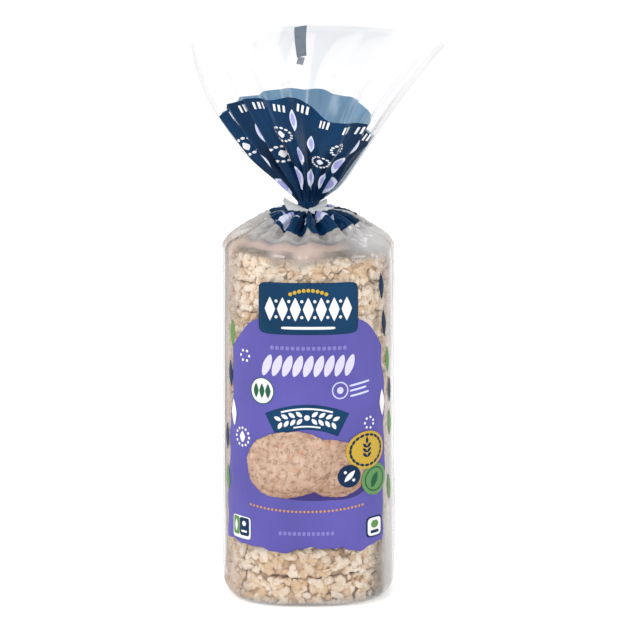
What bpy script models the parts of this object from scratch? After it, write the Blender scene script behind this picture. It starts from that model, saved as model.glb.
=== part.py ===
import math

import bmesh
import bpy

# All lengths are metres. The bag stands on Z = 0 and its front faces -Y.

# The stack of rice cakes that the film is wrapped around.
CAKE_COUNT = 12
CAKE_THICKNESS = 0.017
STACK_HEIGHT = CAKE_COUNT * CAKE_THICKNESS

# The wrapped body, a soft square in plan that grows squarer at the base.
BODY_HALF_WIDTH = 0.050
BODY_HALF_DEPTH = 0.049
BODY_TAPER = 0.0014
BODY_POWER = 2.35
BASE_POWER = 3.0
BASE_BLEND_HEIGHT = 0.024
BASE_EDGE_RADIUS = 0.010
BASE_EDGE_STEPS = 4
BODY_STEPS = 5

# The shoulder, a low dome drawn in to the neck.
SHOULDER_FOOT = STACK_HEIGHT + 0.0025
SHOULDER_RISE = 0.0098
SHOULDER_CONE_RISE = 0.0077
SHOULDER_STEPS = 10
SHOULDER_PLEAT_DEPTH = 0.0026

# The neck, where the tie holds the film in a round bundle.
NECK_RADIUS = 0.0045
NECK_FOOT = SHOULDER_FOOT + SHOULDER_RISE + SHOULDER_CONE_RISE
NECK_HEIGHT = 0.006
NECK_TOP = NECK_FOOT + NECK_HEIGHT

# The flared top, which bellies out above the tie and closes to a flat mouth.
MOUTH_HALF_WIDTH = 0.0725
MOUTH_HALF_DEPTH = 0.0110
MOUTH_SHIFT = 0.0052
FLARE_BEND = 8.0
FLARE_SIDE_HEIGHT = 0.0892
FLARE_SIDE_STRAIGHT = 0.3
FLARE_SIDE_POWER = 1.6
FLARE_MIDDLE_HEIGHT = 0.0995
FLARE_MIDDLE_POWER = 0.85
FRONT_BELLY = 0.029
BACK_BELLY = 0.020
BELLY_LEAN = 0.85
BELLY_SAG = 9.0
FLARE_STEPS = 12
FLARE_PLEAT_DEPTH = 0.0024
FLARE_WALL = 0.0018
MOUTH_CREASE_WALL = 0.0040
HOLLOW_START = 0.30
HOLLOW_STEPS = 8
HOLLOW_TIP_SCALE = 0.15

# Pleats run from the shoulder through the neck into the flare.
PLEAT_COUNT = 16
PLEAT_SHARPNESS = 0.92
PLEAT_DRIFT = 1.1
SEGMENTS_PER_PLEAT = 7
SEGMENTS = PLEAT_COUNT * SEGMENTS_PER_PLEAT

# The tie, a band round the neck with a leaf standing out on each side.
GAP = 0.0003
TIE_HEIGHT = 0.0044
TIE_BAND = 0.0016
TIE_SEGMENTS = 32
LEAF_THICKNESS = 0.0010
LEAF_STEPS = 8
LEAF_ROOT_HALF_HEIGHT = 0.0013
LEFT_LEAF_REACH = 0.0162
LEFT_LEAF_LIFT = 0.0063
LEFT_LEAF_SPREAD = 0.0052
RIGHT_LEAF_REACH = 0.0125
RIGHT_LEAF_LIFT = 0.0024
RIGHT_LEAF_SPREAD = 0.0024


def clear_scene():
    for item in list(bpy.data.objects):
        bpy.data.objects.remove(item, do_unlink=True)


def make_material(name, colour, roughness, metallic):
    material = bpy.data.materials.new(name)
    material.use_nodes = True
    shader = material.node_tree.nodes["Principled BSDF"]
    shader.inputs["Base Color"].default_value = (*colour, 1.0)
    shader.inputs["Roughness"].default_value = roughness
    shader.inputs["Metallic"].default_value = metallic
    return material


def pleat_wave(angle):
    # A rounded zigzag from -1 to 1, unevenly spaced round the bag.
    phase = PLEAT_COUNT * angle + PLEAT_DRIFT * math.sin(3 * angle + 0.7)
    return math.asin(PLEAT_SHARPNESS * math.sin(phase)) / math.asin(PLEAT_SHARPNESS)


def ring_angles():
    return [2 * math.pi * step / SEGMENTS for step in range(SEGMENTS)]


def body_point(angle, height, inset):
    # A superellipse that narrows slightly upwards and is squarest at the base.
    squareness = max(0.0, 1 - height / BASE_BLEND_HEIGHT) ** 2
    power = BODY_POWER + (BASE_POWER - BODY_POWER) * squareness
    shrink = BODY_TAPER * height / SHOULDER_FOOT + inset
    across = abs(math.cos(angle)) / (BODY_HALF_WIDTH - shrink)
    deep = abs(math.sin(angle)) / (BODY_HALF_DEPTH - shrink)
    reach = (across ** power + deep ** power) ** (-1 / power)
    return reach * math.cos(angle), reach * math.sin(angle), height


def base_rings():
    # A quarter round from the flat base up to the wall.
    rings = []
    for step in range(BASE_EDGE_STEPS + 1):
        turn = 0.5 * math.pi * step / BASE_EDGE_STEPS
        inset = BASE_EDGE_RADIUS * (1 - math.sin(turn))
        height = BASE_EDGE_RADIUS * (1 - math.cos(turn))
        rings.append([body_point(angle, height, inset) for angle in ring_angles()])
    return rings


def body_rings():
    rings = []
    for step in range(1, BODY_STEPS + 1):
        height = BASE_EDGE_RADIUS + (SHOULDER_FOOT - BASE_EDGE_RADIUS) * step / BODY_STEPS
        rings.append([body_point(angle, height, 0.0) for angle in ring_angles()])
    return rings


def shoulder_point(angle, share):
    # share runs from 1 at the wall to 0 at the neck.
    x, y, height = body_point(angle, SHOULDER_FOOT, 0.0)
    wall = math.hypot(x, y)
    reach = NECK_RADIUS + (wall - NECK_RADIUS) * share
    dome = SHOULDER_RISE * (1 - share ** 1.75) ** 0.75
    cone = SHOULDER_CONE_RISE * (1 - share)
    fold = SHOULDER_PLEAT_DEPTH * math.sin(math.pi * share ** 0.66) ** 1.2 * pleat_wave(angle)
    return reach * x / wall, reach * y / wall, height + dome + cone + fold


def shoulder_rings():
    # Steps are closest near the wall, where the dome turns over.
    rings = []
    for step in range(1, SHOULDER_STEPS + 1):
        share = math.cos(0.5 * math.pi * step / SHOULDER_STEPS) ** 0.75
        rings.append([shoulder_point(angle, share) for angle in ring_angles()])
    return rings


def flare_point(angle, climb, wall, crease_wall):
    # climb runs from 0 at the neck to 1 at the mouth. The two walls are taken off
    # the depth and off the width, which gives the inner face.
    side = abs(math.sin(angle))
    lean = 1 + BELLY_LEAN * math.cos(angle)
    belly = (FRONT_BELLY if math.sin(angle) < 0 else BACK_BELLY) * lean
    swell = belly * math.sin(math.pi * climb ** 1.16)
    half_width = NECK_RADIUS + (MOUTH_HALF_WIDTH - NECK_RADIUS) * climb - crease_wall
    half_depth = NECK_RADIUS + (MOUTH_HALF_DEPTH - NECK_RADIUS) * climb + swell - wall
    fold = FLARE_PLEAT_DEPTH * math.sin(math.pi * climb ** 0.55) * pleat_wave(angle)
    fold += 0.25 * FLARE_PLEAT_DEPTH * climb * pleat_wave(angle)
    shift = MOUTH_SHIFT * (FLARE_BEND * climb ** 3 - (FLARE_BEND - 1) * climb ** 2)
    x = shift + (half_width + fold) * math.cos(angle)
    y = half_depth * math.copysign(side ** (1 + 0.6 * climb), math.sin(angle)) + fold * math.sin(angle)
    slope = FLARE_SIDE_STRAIGHT * climb + (1 - FLARE_SIDE_STRAIGHT) * climb ** FLARE_SIDE_POWER
    side_height = FLARE_SIDE_HEIGHT * slope
    middle_height = FLARE_MIDDLE_HEIGHT * climb ** FLARE_MIDDLE_POWER
    sag = BELLY_SAG * swell ** 2 * side ** 3
    return x, y, NECK_TOP + side_height + (middle_height - side_height) * side ** 0.9 - sag


def flare_rings():
    rings = []
    for step in range(FLARE_STEPS + 1):
        climb = (step / FLARE_STEPS) ** 1.25
        rings.append([flare_point(angle, climb, 0.0, 0.0) for angle in ring_angles()])
    return rings


def hollow_rings():
    # The inner face, from the mouth down to a small closed tip.
    rings = []
    for step in range(HOLLOW_STEPS + 1):
        climb = 1 + (HOLLOW_START - 1) * step / HOLLOW_STEPS
        rings.append([flare_point(angle, climb, FLARE_WALL, MOUTH_CREASE_WALL * climb) for angle in ring_angles()])
    tip = [(HOLLOW_TIP_SCALE * x, HOLLOW_TIP_SCALE * y, z - 0.006) for x, y, z in rings[-1]]
    level = sum(point[2] for point in tip) / len(tip)
    rings.append([(x, y, level) for x, y, z in tip])
    return rings


def loft(mesh, rings):
    # Skins a list of equal rings from first to last and caps both ends.
    loops = [[mesh.verts.new(point) for point in ring] for ring in rings]
    for lower, upper in zip(loops, loops[1:]):
        for start in range(len(lower)):
            following = (start + 1) % len(lower)
            mesh.faces.new((lower[start], lower[following], upper[following], upper[start]))
    mesh.faces.new(list(reversed(loops[0])))
    mesh.faces.new(loops[-1])


def make_object(name, mesh, material):
    bmesh.ops.recalc_face_normals(mesh, faces=mesh.faces[:])
    data = bpy.data.meshes.new(name)
    mesh.to_mesh(data)
    mesh.free()
    data.materials.append(material)
    data.shade_smooth()
    data.set_sharp_from_angle(angle=math.radians(50))
    item = bpy.data.objects.new(name, data)
    bpy.context.scene.collection.objects.link(item)
    return item


def make_bag():
    rings = base_rings() + body_rings() + shoulder_rings() + flare_rings() + hollow_rings()
    mesh = bmesh.new()
    loft(mesh, rings)
    film = make_material("film", (0.72, 0.66, 0.60), 0.25, 0.0)
    return make_object("bag", mesh, film)


def make_tie_band():
    # A square-section ring, kept a hair off the neck.
    inner = NECK_RADIUS + GAP
    outer = inner + TIE_BAND
    middle = 0.5 * (NECK_FOOT + NECK_TOP)
    corners = ((inner, -0.5), (outer, -0.5), (outer, 0.5), (inner, 0.5))
    mesh = bmesh.new()
    hoops = []
    for radius, side in corners:
        hoop = []
        for step in range(TIE_SEGMENTS):
            angle = 2 * math.pi * step / TIE_SEGMENTS
            point = (radius * math.cos(angle), radius * math.sin(angle), middle + side * TIE_HEIGHT)
            hoop.append(mesh.verts.new(point))
        hoops.append(hoop)
    for index, hoop in enumerate(hoops):
        beyond = hoops[(index + 1) % len(hoops)]
        for start in range(TIE_SEGMENTS):
            following = (start + 1) % TIE_SEGMENTS
            mesh.faces.new((hoop[start], hoop[following], beyond[following], beyond[start]))
    plastic = make_material("tie_plastic", (0.62, 0.64, 0.65), 0.35, 0.0)
    return make_object("tie", mesh, plastic)


def left_leaf_edges(share):
    # Widens and curls up to its tip.
    low = -LEAF_ROOT_HALF_HEIGHT + LEFT_LEAF_LIFT * share ** 2.5
    high = LEAF_ROOT_HALF_HEIGHT + LEFT_LEAF_SPREAD * share ** 0.8
    return low, high


def right_leaf_edges(share):
    # Humps in the middle and thins to its tip.
    low = -LEAF_ROOT_HALF_HEIGHT + RIGHT_LEAF_LIFT * share
    high = LEAF_ROOT_HALF_HEIGHT + RIGHT_LEAF_SPREAD * math.sin(math.pi * share) + 0.0006 * share
    return low, high


def add_leaf(mesh, direction, reach, edges):
    # A flat leaf that starts inside the band and runs out along X.
    root = NECK_RADIUS + GAP + 0.5 * TIE_BAND
    middle = 0.5 * (NECK_FOOT + NECK_TOP)
    half = 0.5 * LEAF_THICKNESS
    sections = []
    for step in range(LEAF_STEPS + 1):
        share = step / LEAF_STEPS
        x = direction * (root + (reach - root) * share)
        low, high = edges(share)
        corners = ((-half, low), (half, low), (half, high), (-half, high))
        sections.append([mesh.verts.new((x, y, middle + z)) for y, z in corners])
    for inner, outer in zip(sections, sections[1:]):
        for start in range(4):
            following = (start + 1) % 4
            mesh.faces.new((inner[start], inner[following], outer[following], outer[start]))
    mesh.faces.new(sections[0])
    mesh.faces.new(sections[-1])


def make_tie_leaves():
    mesh = bmesh.new()
    add_leaf(mesh, -1, LEFT_LEAF_REACH, left_leaf_edges)
    add_leaf(mesh, 1, RIGHT_LEAF_REACH, right_leaf_edges)
    plastic = make_material("tie_leaf_plastic", (0.62, 0.64, 0.65), 0.35, 0.0)
    leaves = make_object("tie_leaves", mesh, plastic)
    leaves.hide_render = True
    leaves.display_type = "WIRE"
    return leaves


def make_tie():
    band = make_tie_band()
    union = band.modifiers.new("leaves", "BOOLEAN")
    union.operation = "UNION"
    union.solver = "EXACT"
    union.object = make_tie_leaves()
    return band


clear_scene()
make_bag()
make_tie()
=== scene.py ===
import math

import bpy
import numpy as np
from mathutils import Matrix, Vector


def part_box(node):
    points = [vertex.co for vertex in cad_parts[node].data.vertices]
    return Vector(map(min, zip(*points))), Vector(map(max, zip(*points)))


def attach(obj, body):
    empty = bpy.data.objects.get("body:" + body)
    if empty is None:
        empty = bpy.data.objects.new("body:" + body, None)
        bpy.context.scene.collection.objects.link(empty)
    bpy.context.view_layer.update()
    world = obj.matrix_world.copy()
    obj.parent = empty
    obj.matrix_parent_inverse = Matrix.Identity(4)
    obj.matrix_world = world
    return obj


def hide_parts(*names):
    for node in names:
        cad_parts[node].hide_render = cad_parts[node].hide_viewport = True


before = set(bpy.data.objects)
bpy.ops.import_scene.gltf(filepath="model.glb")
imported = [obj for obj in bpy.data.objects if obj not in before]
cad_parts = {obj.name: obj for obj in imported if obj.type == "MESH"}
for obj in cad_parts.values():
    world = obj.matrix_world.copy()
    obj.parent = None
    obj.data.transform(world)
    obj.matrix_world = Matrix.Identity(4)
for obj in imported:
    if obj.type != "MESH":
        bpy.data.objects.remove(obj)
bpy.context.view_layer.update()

mm = 0.001
bagLow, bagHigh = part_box("bag")
fullTurn = 2 * math.pi
frontAngle = -0.5 * math.pi  # the printed front looks along -Y
backAngle = 0.5 * math.pi
print("frame loaded")

# Shape of the wrapped bag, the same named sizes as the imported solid, in metres.
bag = {
    "halfWidth": 0.050,
    "halfDepth": 0.049,
    "taper": 0.0014,
    "power": 2.35,
    "basePower": 3.0,
    "baseBlend": 0.024,
    "baseEdge": 0.010,
    "cakes": 12,
    "cakeThickness": 0.017,
    "shoulderRise": 0.0098,
    "shoulderCone": 0.0077,
    "shoulderPleat": 0.0026,
    "neckRadius": 0.0045,
    "neckFunnel": 0.0020,   # how much wider the neck opens above the tie
    "neckHeight": 0.006,
    "pleats": 16,
    "pleatSharpness": 0.92,
    "pleatDrift": 1.1,
}
stackHeight = bag["cakes"] * bag["cakeThickness"]
shoulderFoot = stackHeight + 0.0025
neckFoot = shoulderFoot + bag["shoulderRise"] + bag["shoulderCone"]
neckTop = neckFoot + bag["neckHeight"]

# The strip that ties the neck.
tie = {
    "level": 0.2246,
    "bandHalf": 0.9 * mm,
    "bandThickness": 1.3 * mm,
    "gap": 0.25 * mm,
    "leafThickness": 0.35 * mm,
}

# The flared film above the tie.
flare = {
    "mouthHalfWidth": 0.0725,
    "mouthHalfDepth": 0.0110,
    "mouthShift": 0.0052,
    "bend": 8.0,
    "sideHeight": 0.0892,
    "sideStraight": 0.3,
    "sidePower": 1.6,
    "middleHeight": bagHigh[2] - neckTop,
    "middlePower": 0.85,
    "frontBelly": 0.029,
    "backBelly": 0.020,
    "lean": 0.85,
    "sag": 9.0,
    "pleat": 0.0024,
    "printTop": 0.617,
    "printWave": 0.006,
}


def pleatWave(angle):
    # A rounded zigzag from -1 to 1: arcsine of a damped sine whose phase drifts round the bag.
    phase = bag["pleats"] * angle + bag["pleatDrift"] * np.sin(3 * angle + 0.7)
    return np.arcsin(bag["pleatSharpness"] * np.sin(phase)) / math.asin(bag["pleatSharpness"])


def outlineReach(angle, height, inset):
    # Superellipse radius: ((|cos| / a)^p + (|sin| / b)^p)^(-1/p), p growing towards the base
    # and a, b shrinking slightly with height.
    squareness = np.clip(1 - height / bag["baseBlend"], 0, 1) ** 2
    power = bag["power"] + (bag["basePower"] - bag["power"]) * squareness
    shrink = bag["taper"] * height / shoulderFoot + inset
    across = np.abs(np.cos(angle)) / (bag["halfWidth"] - shrink)
    deep = np.abs(np.sin(angle)) / (bag["halfDepth"] - shrink)
    return (across ** power + deep ** power) ** (-1 / power)


def neckReach(level):
    # The neck is pinched by the tie in a bell curve and opens like a funnel above it.
    share = np.clip((level - tie["level"] - 0.0008) / (neckTop - tie["level"] - 0.0008), 0, 1)
    pinch = 1 - 0.30 * np.exp(-((level - tie["level"]) / 0.0021) ** 2)
    return bag["neckRadius"] * pinch + bag["neckFunnel"] * share


def wallShape(angle, height):
    # The upright wall: the outline at that height, drawn in along a quarter round at the base.
    low = np.clip(1 - height / bag["baseEdge"], 0, 1)
    reach = outlineReach(angle, height, bag["baseEdge"] * (1 - np.sqrt(1 - low ** 2)))
    return np.stack([reach * np.cos(angle), reach * np.sin(angle), height + 0 * angle], axis=-1)


def shoulderShape(angle, climb):
    # Radius falls from the wall to the neck as 1 - climb, height rises as a flattened dome plus
    # a low cone, and pleats swell and die along a sine.
    share = np.clip(1 - climb, 0, 1)
    wall = outlineReach(angle, shoulderFoot, 0.0)
    reach = bag["neckRadius"] + (wall - bag["neckRadius"]) * share
    dome = bag["shoulderRise"] * (1 - share ** 1.75) ** 0.75
    cone = bag["shoulderCone"] * (1 - share)
    fold = bag["shoulderPleat"] * np.sin(math.pi * share ** 0.66) ** 1.2 * pleatWave(angle)
    height = shoulderFoot + dome + cone + fold
    return np.stack([reach * np.cos(angle), reach * np.sin(angle), height], axis=-1)


def flareShape(angle, climb):
    # Half width grows straight to the mouth, half depth adds a belly that is a sine of climb and
    # leans to one side, height blends a side curve with a middle curve by |sin| of the angle.
    climb = np.clip(climb, 0, 1)
    side = np.abs(np.sin(angle))
    facing = np.where(np.sin(angle) < 0, flare["frontBelly"], flare["backBelly"])
    swell = facing * (1 + flare["lean"] * np.cos(angle)) * np.sin(math.pi * climb ** 1.16)
    neck = bag["neckRadius"] + bag["neckFunnel"] * np.exp(-climb / 0.06)
    halfWidth = neck + (flare["mouthHalfWidth"] - bag["neckRadius"]) * climb
    halfDepth = neck + (flare["mouthHalfDepth"] - bag["neckRadius"]) * climb + swell
    fold = flare["pleat"] * (np.sin(math.pi * climb ** 0.55) + 0.25 * climb) * pleatWave(angle)
    fold = fold + flareCreases(angle, climb)
    shift = flare["mouthShift"] * (flare["bend"] * climb ** 3 - (flare["bend"] - 1) * climb ** 2)
    x = shift + (halfWidth + fold) * np.cos(angle)
    y = halfDepth * np.sign(np.sin(angle)) * side ** (1 + 0.6 * climb) + fold * np.sin(angle)
    slope = flare["sideStraight"] * climb + (1 - flare["sideStraight"]) * climb ** flare["sidePower"]
    sideHeight = flare["sideHeight"] * slope
    middleHeight = flare["middleHeight"] * climb ** flare["middlePower"]
    sag = flare["sag"] * swell ** 2 * side ** 3
    z = neckTop + sideHeight + (middleHeight - sideHeight) * side ** 0.9 - sag
    return np.stack([x, y, z], axis=-1)


def easeStep(value, start, stop):
    # 0 before start, 1 after stop, 3t^2 - 2t^3 between them.
    share = np.clip((value - start) / (stop - start), 0, 1)
    return share * share * (3 - 2 * share)


def smoothNoise(turns, rise, columns, rows, seed):
    # Value noise: random numbers on a lattice that wraps round, blended by smoothstep both ways.
    lattice = np.random.default_rng(seed).random((rows + 2, columns))
    x = np.mod(turns, 1.0) * columns
    y = np.clip(rise, 0, 0.9999) * rows
    left, low = np.floor(x).astype(int), np.floor(y).astype(int)
    u, v = x - left, y - low
    u, v = u * u * (3 - 2 * u), v * v * (3 - 2 * v)
    left, right = left % columns, (left + 1) % columns
    lower = lattice[low, left] * (1 - u) + lattice[low, right] * u
    upper = lattice[low + 1, left] * (1 - u) + lattice[low + 1, right] * u
    return lower * (1 - v) + upper * v


def creaseNoise(turns, rise, columns, rows, seed, sharpness):
    # Thin ridges: where warped value noise passes one half, raised to a power.
    warp = 0.6 / columns * (smoothNoise(turns, rise, columns // 2, rows // 2, seed + 50) - 0.5)
    plain = smoothNoise(turns + warp, rise + warp, columns, rows, seed)
    return (1 - np.abs(2 * plain - 1)) ** sharpness


ripple = {
    "soft": 0.25 * mm,      # slow waviness everywhere
    "draw": 0.22 * mm,      # long upright pulls at the sides
    "crease": 0.03 * mm,    # thin ridges where the film is slack
    "shoulder": 0.80 * mm,  # crumpling at the top edge
    "base": 0.45 * mm,      # crumpling at the bottom edge
    "sideEar": 1.00 * mm,   # the folded edges left and right
}


def bodyRipple(angle, height):
    # Slow noise, plus upright pulls and an ear at each side, plus ridges weighted to the top and
    # bottom edges.
    turns, rise = angle / fullTurn, height / 0.26
    sides = np.abs(np.cos(angle)) ** 6
    top = np.exp(-((height - 0.206) / 0.014) ** 2)
    foot = np.exp(-(height / 0.016) ** 2)
    slow = ripple["soft"] * (2 * smoothNoise(turns, rise, 12, 10, 3) - 1)
    pulls = ripple["draw"] * sides * (2 * smoothNoise(turns, rise, 40, 2, 19) - 1)
    ridges = creaseNoise(turns, rise, 22, 18, 7, 4) + 0.6 * creaseNoise(turns, rise, 40, 30, 11, 5)
    slack = ripple["crease"] * sides + ripple["shoulder"] * top + ripple["base"] * foot
    ear = ripple["sideEar"] * np.exp(-(np.abs(np.sin(angle)) / 0.07) ** 2) * (1 - foot)
    return slow + pulls + slack * (ridges - 0.4) + ear


def shoulderRipple(angle, climb):
    # The same crumpling carried over the shoulder, dying towards the neck.
    turns = angle / fullTurn
    ridges = creaseNoise(turns, climb, 34, 8, 23, 4) + 0.7 * creaseNoise(turns, climb, 60, 14, 29, 5)
    start = bodyRipple(angle, shoulderFoot + 0 * climb) * (1 - np.clip(climb, 0, 1)) ** 4
    middle = np.exp(-((climb - 0.60) / 0.22) ** 2)
    ruffle = 1.3 * mm * pleatWave(angle) + 0.30 * mm * np.sin(53 * angle + 2 * np.sin(3 * angle))
    return start + ruffle * middle + 0.6 * mm * (ridges - 0.4) * np.sin(math.pi * np.clip(climb, 0, 1)) ** 0.8


def deepFold(angle):
    # Thirteen folds, unevenly spaced: a sine whose phase drifts round the bag.
    return np.sin(13 * angle + 1.5 * np.sin(angle) + 0.4)


def flareCreases(angle, climb):
    # Finer folds between the main pleats, strongest near the neck, and slack waves at the mouth.
    turns = angle / fullTurn
    fine = np.sin(41 * angle + 2.0 * np.sin(2 * angle)) * np.sin(math.pi * climb ** 0.45)
    printed = np.clip((0.75 - climb) / 0.25, 0, 1)
    sharp = creaseNoise(turns, climb, 26, 4, 37, 4) * np.sin(math.pi * climb ** 0.8)
    loose = (2 * smoothNoise(turns, climb, 9, 4, 41) - 1) * climb
    deep = deepFold(angle) * np.exp(-((climb - 0.16) / 0.13) ** 2)
    return (0.35 * fine + 1.6 * deep + (0.4 + 1.5 * printed) * sharp * climb ** 0.3 + 0.9 * loose) * mm


def liftedFrom(shape, first, second, lift):
    # The point plus lift times the unit normal, which is the cross product of the shape's small
    # steps along its two parameters.
    step = 1e-4
    point = shape(first, second)
    across = shape(first + step, second) - shape(first - step, second)
    along = shape(first, second + step) - shape(first, second - step)
    normal = np.cross(across, along)
    normal /= np.maximum(np.linalg.norm(normal, axis=-1, keepdims=True), 1e-12)
    return point + np.asarray(lift + 0 * first)[..., None] * normal


def gridFaces(rows, columns, wrap):
    # Quads between neighbouring rows and columns; a wrapped grid joins its last column to its first.
    across = columns if wrap else columns - 1
    row, column = np.meshgrid(np.arange(rows - 1), np.arange(across), indexing="ij")
    following = (column + 1) % columns
    near, far = row * columns, (row + 1) * columns
    return np.stack([near + column, near + following, far + following, far + column], -1).reshape(-1, 4)


def capFaces(ring, pole, outwards):
    # Triangles from a closed ring of vertex numbers to one pole.
    following = np.roll(ring, -1)
    near, far = (ring, following) if outwards else (following, ring)
    return np.stack([near, far, np.full_like(ring, pole)], axis=-1)


def skin(points, wrap=True, startPole=None, endPole=None):
    # A grid of points as vertices and faces, with a pole closing the first or last row if given.
    rows, columns = points.shape[:2]
    vertices = [points.reshape(-1, 3)]
    quads = gridFaces(rows, columns, wrap)
    corners = []
    count = rows * columns
    for pole, row, outwards in ((startPole, 0, False), (endPole, rows - 1, True)):
        if pole is not None:
            vertices.append(np.asarray(pole, float).reshape(1, 3))
            corners.append(capFaces(row * columns + np.arange(columns), count, outwards))
            count += 1
    triangles = np.concatenate(corners) if corners else np.zeros((0, 3), int)
    return np.concatenate(vertices), quads, triangles


def joinSkins(skins):
    # Several vertex and face sets as one, their vertex numbers moved on.
    vertices, quads, triangles, start = [], [], [], 0
    for points, fours, threes in skins:
        vertices.append(points)
        quads.append(fours + start)
        triangles.append(threes + start)
        start += len(points)
    return np.concatenate(vertices), np.concatenate(quads), np.concatenate(triangles)


def makePiece(name, shape, material, values=None, replaces=None, thickness=None):
    vertices, quads, triangles = shape
    mesh = bpy.data.meshes.new(name)
    mesh.vertices.add(len(vertices))
    mesh.vertices.foreach_set("co", vertices.astype(np.float32).ravel())
    corners = np.concatenate([quads.ravel(), triangles.ravel()]).astype(np.int32)
    sizes = np.concatenate([np.full(len(quads), 4), np.full(len(triangles), 3)]).astype(np.int32)
    mesh.loops.add(len(corners))
    mesh.loops.foreach_set("vertex_index", corners)
    mesh.polygons.add(len(sizes))
    mesh.polygons.foreach_set("loop_start", np.concatenate([[0], np.cumsum(sizes)[:-1]]).astype(np.int32))
    mesh.update(calc_edges=True)
    mesh.validate()
    mesh.shade_smooth()
    for label, numbers in (values or {}).items():
        layer = mesh.attributes.new(label, "FLOAT", "POINT")
        layer.data.foreach_set("value", numbers.astype(np.float32).ravel())
    mesh.materials.append(material)
    piece = bpy.data.objects.new(name, mesh)
    bpy.context.scene.collection.objects.link(piece)
    if thickness:
        wall = piece.modifiers.new("wall", "SOLIDIFY")
        wall.thickness = thickness
        wall.offset = 1.0
    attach(piece, "root")
    if replaces:
        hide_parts(replaces)
    return piece


# ---- finishes ----


def startMaterial(name):
    material = bpy.data.materials.new(name)
    material.use_nodes = True
    tree = material.node_tree
    return material, tree, tree.nodes["Principled BSDF"], tree.nodes["Material Output"]


def addNode(tree, kind, settings=None, **inputs):
    # Makes a node, sets its properties, and gives each named input a value or a link.
    node = tree.nodes.new(kind)
    for key, value in (settings or {}).items():
        setattr(node, key, value)
    for key, value in inputs.items():
        socket = node.inputs[int(key[1:])] if key[0] == "_" else node.inputs[key.replace("_", " ")]
        if isinstance(value, bpy.types.NodeSocket):
            tree.links.new(value, socket)
        else:
            socket.default_value = value
    return node


def startGroup(name, inputs, outputs):
    group = bpy.data.node_groups.new(name, "ShaderNodeTree")
    for label, start in inputs:
        group.interface.new_socket(label, in_out="INPUT", socket_type="NodeSocketFloat").default_value = start
    for label, kind in outputs:
        group.interface.new_socket(label, in_out="OUTPUT", socket_type=kind)
    return group, group.nodes.new("NodeGroupInput"), group.nodes.new("NodeGroupOutput")


def placeGroup(tree, group, **inputs):
    node = tree.nodes.new("ShaderNodeGroup")
    node.node_tree = group
    for key, value in inputs.items():
        node.inputs[key].default_value = value
    return node


def makeRamp(tree, factor, stops):
    # A colour ramp with any number of (place, colour) stops.
    ramp = addNode(tree, "ShaderNodeValToRGB", Fac=factor)
    elements = ramp.color_ramp.elements
    while len(elements) < len(stops):
        elements.new(0.5)
    for element, (place, colour) in zip(elements, stops):
        element.position = place
        element.color = (*colour, 1)
    return ramp


def blended(tree, share, under, over, way="MIX"):
    # One colour over another by a share; the upper one may be a socket or a plain colour.
    mix = addNode(tree, "ShaderNodeMix", {"data_type": "RGBA", "blend_type": way}, _0=share, _6=under)
    if isinstance(over, bpy.types.NodeSocket):
        tree.links.new(over, mix.inputs[7])
    else:
        mix.inputs[7].default_value = (*over, 1)
    return mix.outputs[2]


def filmCrinkleGroup():
    # Thin ridges from stretched, distorted noise, and slow unevenness, both 0 to 1.
    group, start, end = startGroup(
        "filmCrinkle",
        [("Size", 120.0), ("Stretch", 0.5)],
        [("Ridge", "NodeSocketFloat"), ("Slow", "NodeSocketFloat")],
    )
    place = addNode(group, "ShaderNodeTexCoord")
    squash = addNode(group, "ShaderNodeCombineXYZ", X=1.0, Y=1.0, Z=start.outputs["Stretch"])
    spread = addNode(group, "ShaderNodeVectorMath", {"operation": "MULTIPLY"},
                     _0=place.outputs["Object"], _1=squash.outputs[0])
    fine = addNode(group, "ShaderNodeTexNoise", Vector=spread.outputs[0], Scale=start.outputs["Size"],
                   Detail=3.0, Roughness=0.45, Distortion=1.2)
    centred = addNode(group, "ShaderNodeMath", {"operation": "SUBTRACT"}, _0=fine.outputs["Fac"], _1=0.5)
    folded = addNode(group, "ShaderNodeMath", {"operation": "ABSOLUTE"}, _0=centred.outputs[0])
    ridge = addNode(group, "ShaderNodeMapRange", {"interpolation_type": "SMOOTHSTEP"}, Value=folded.outputs[0],
                    _1=0.0, _2=0.10, _3=1.0, _4=0.0)
    slow = addNode(group, "ShaderNodeTexNoise", Vector=spread.outputs[0], Scale=28.0, Detail=2.0)
    group.links.new(ridge.outputs[0], end.inputs["Ridge"])
    group.links.new(slow.outputs["Fac"], end.inputs["Slow"])
    return group


filmCrinkle = filmCrinkleGroup()

clearFilm = {
    "name": "clearFilm",
    "tint": (0.985, 0.985, 0.985),   # what one layer lets through face on
    "edgeTint": (0.80, 0.80, 0.80),  # and edge on
    "whiteMilk": (0.56, 0.55, 0.55),  # the haze where the film is crumpled: film whitening, partly painted highlight
    "greyMilk": (0.265, 0.255, 0.248),  # painted shade at the edges
    "warmMilk": (0.515, 0.395, 0.345),  # where it lies on the rice
    "foldShade": (0.17, 0.145, 0.125),  # and darker painted shade along a doubled fold
    "roughness": 0.14,
    "gloss": 1.0,
    "mostGloss": 0.42,
    "bump": 0.12,
    "creaseSize": 48.0,
}
gatheredFilm = dict(clearFilm, name="gatheredFilm", tint=(0.965, 0.965, 0.97), edgeTint=(0.89, 0.89, 0.90),
                    roughness=0.25, gloss=0.6, mostGloss=0.20, bump=0.10)


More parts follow.
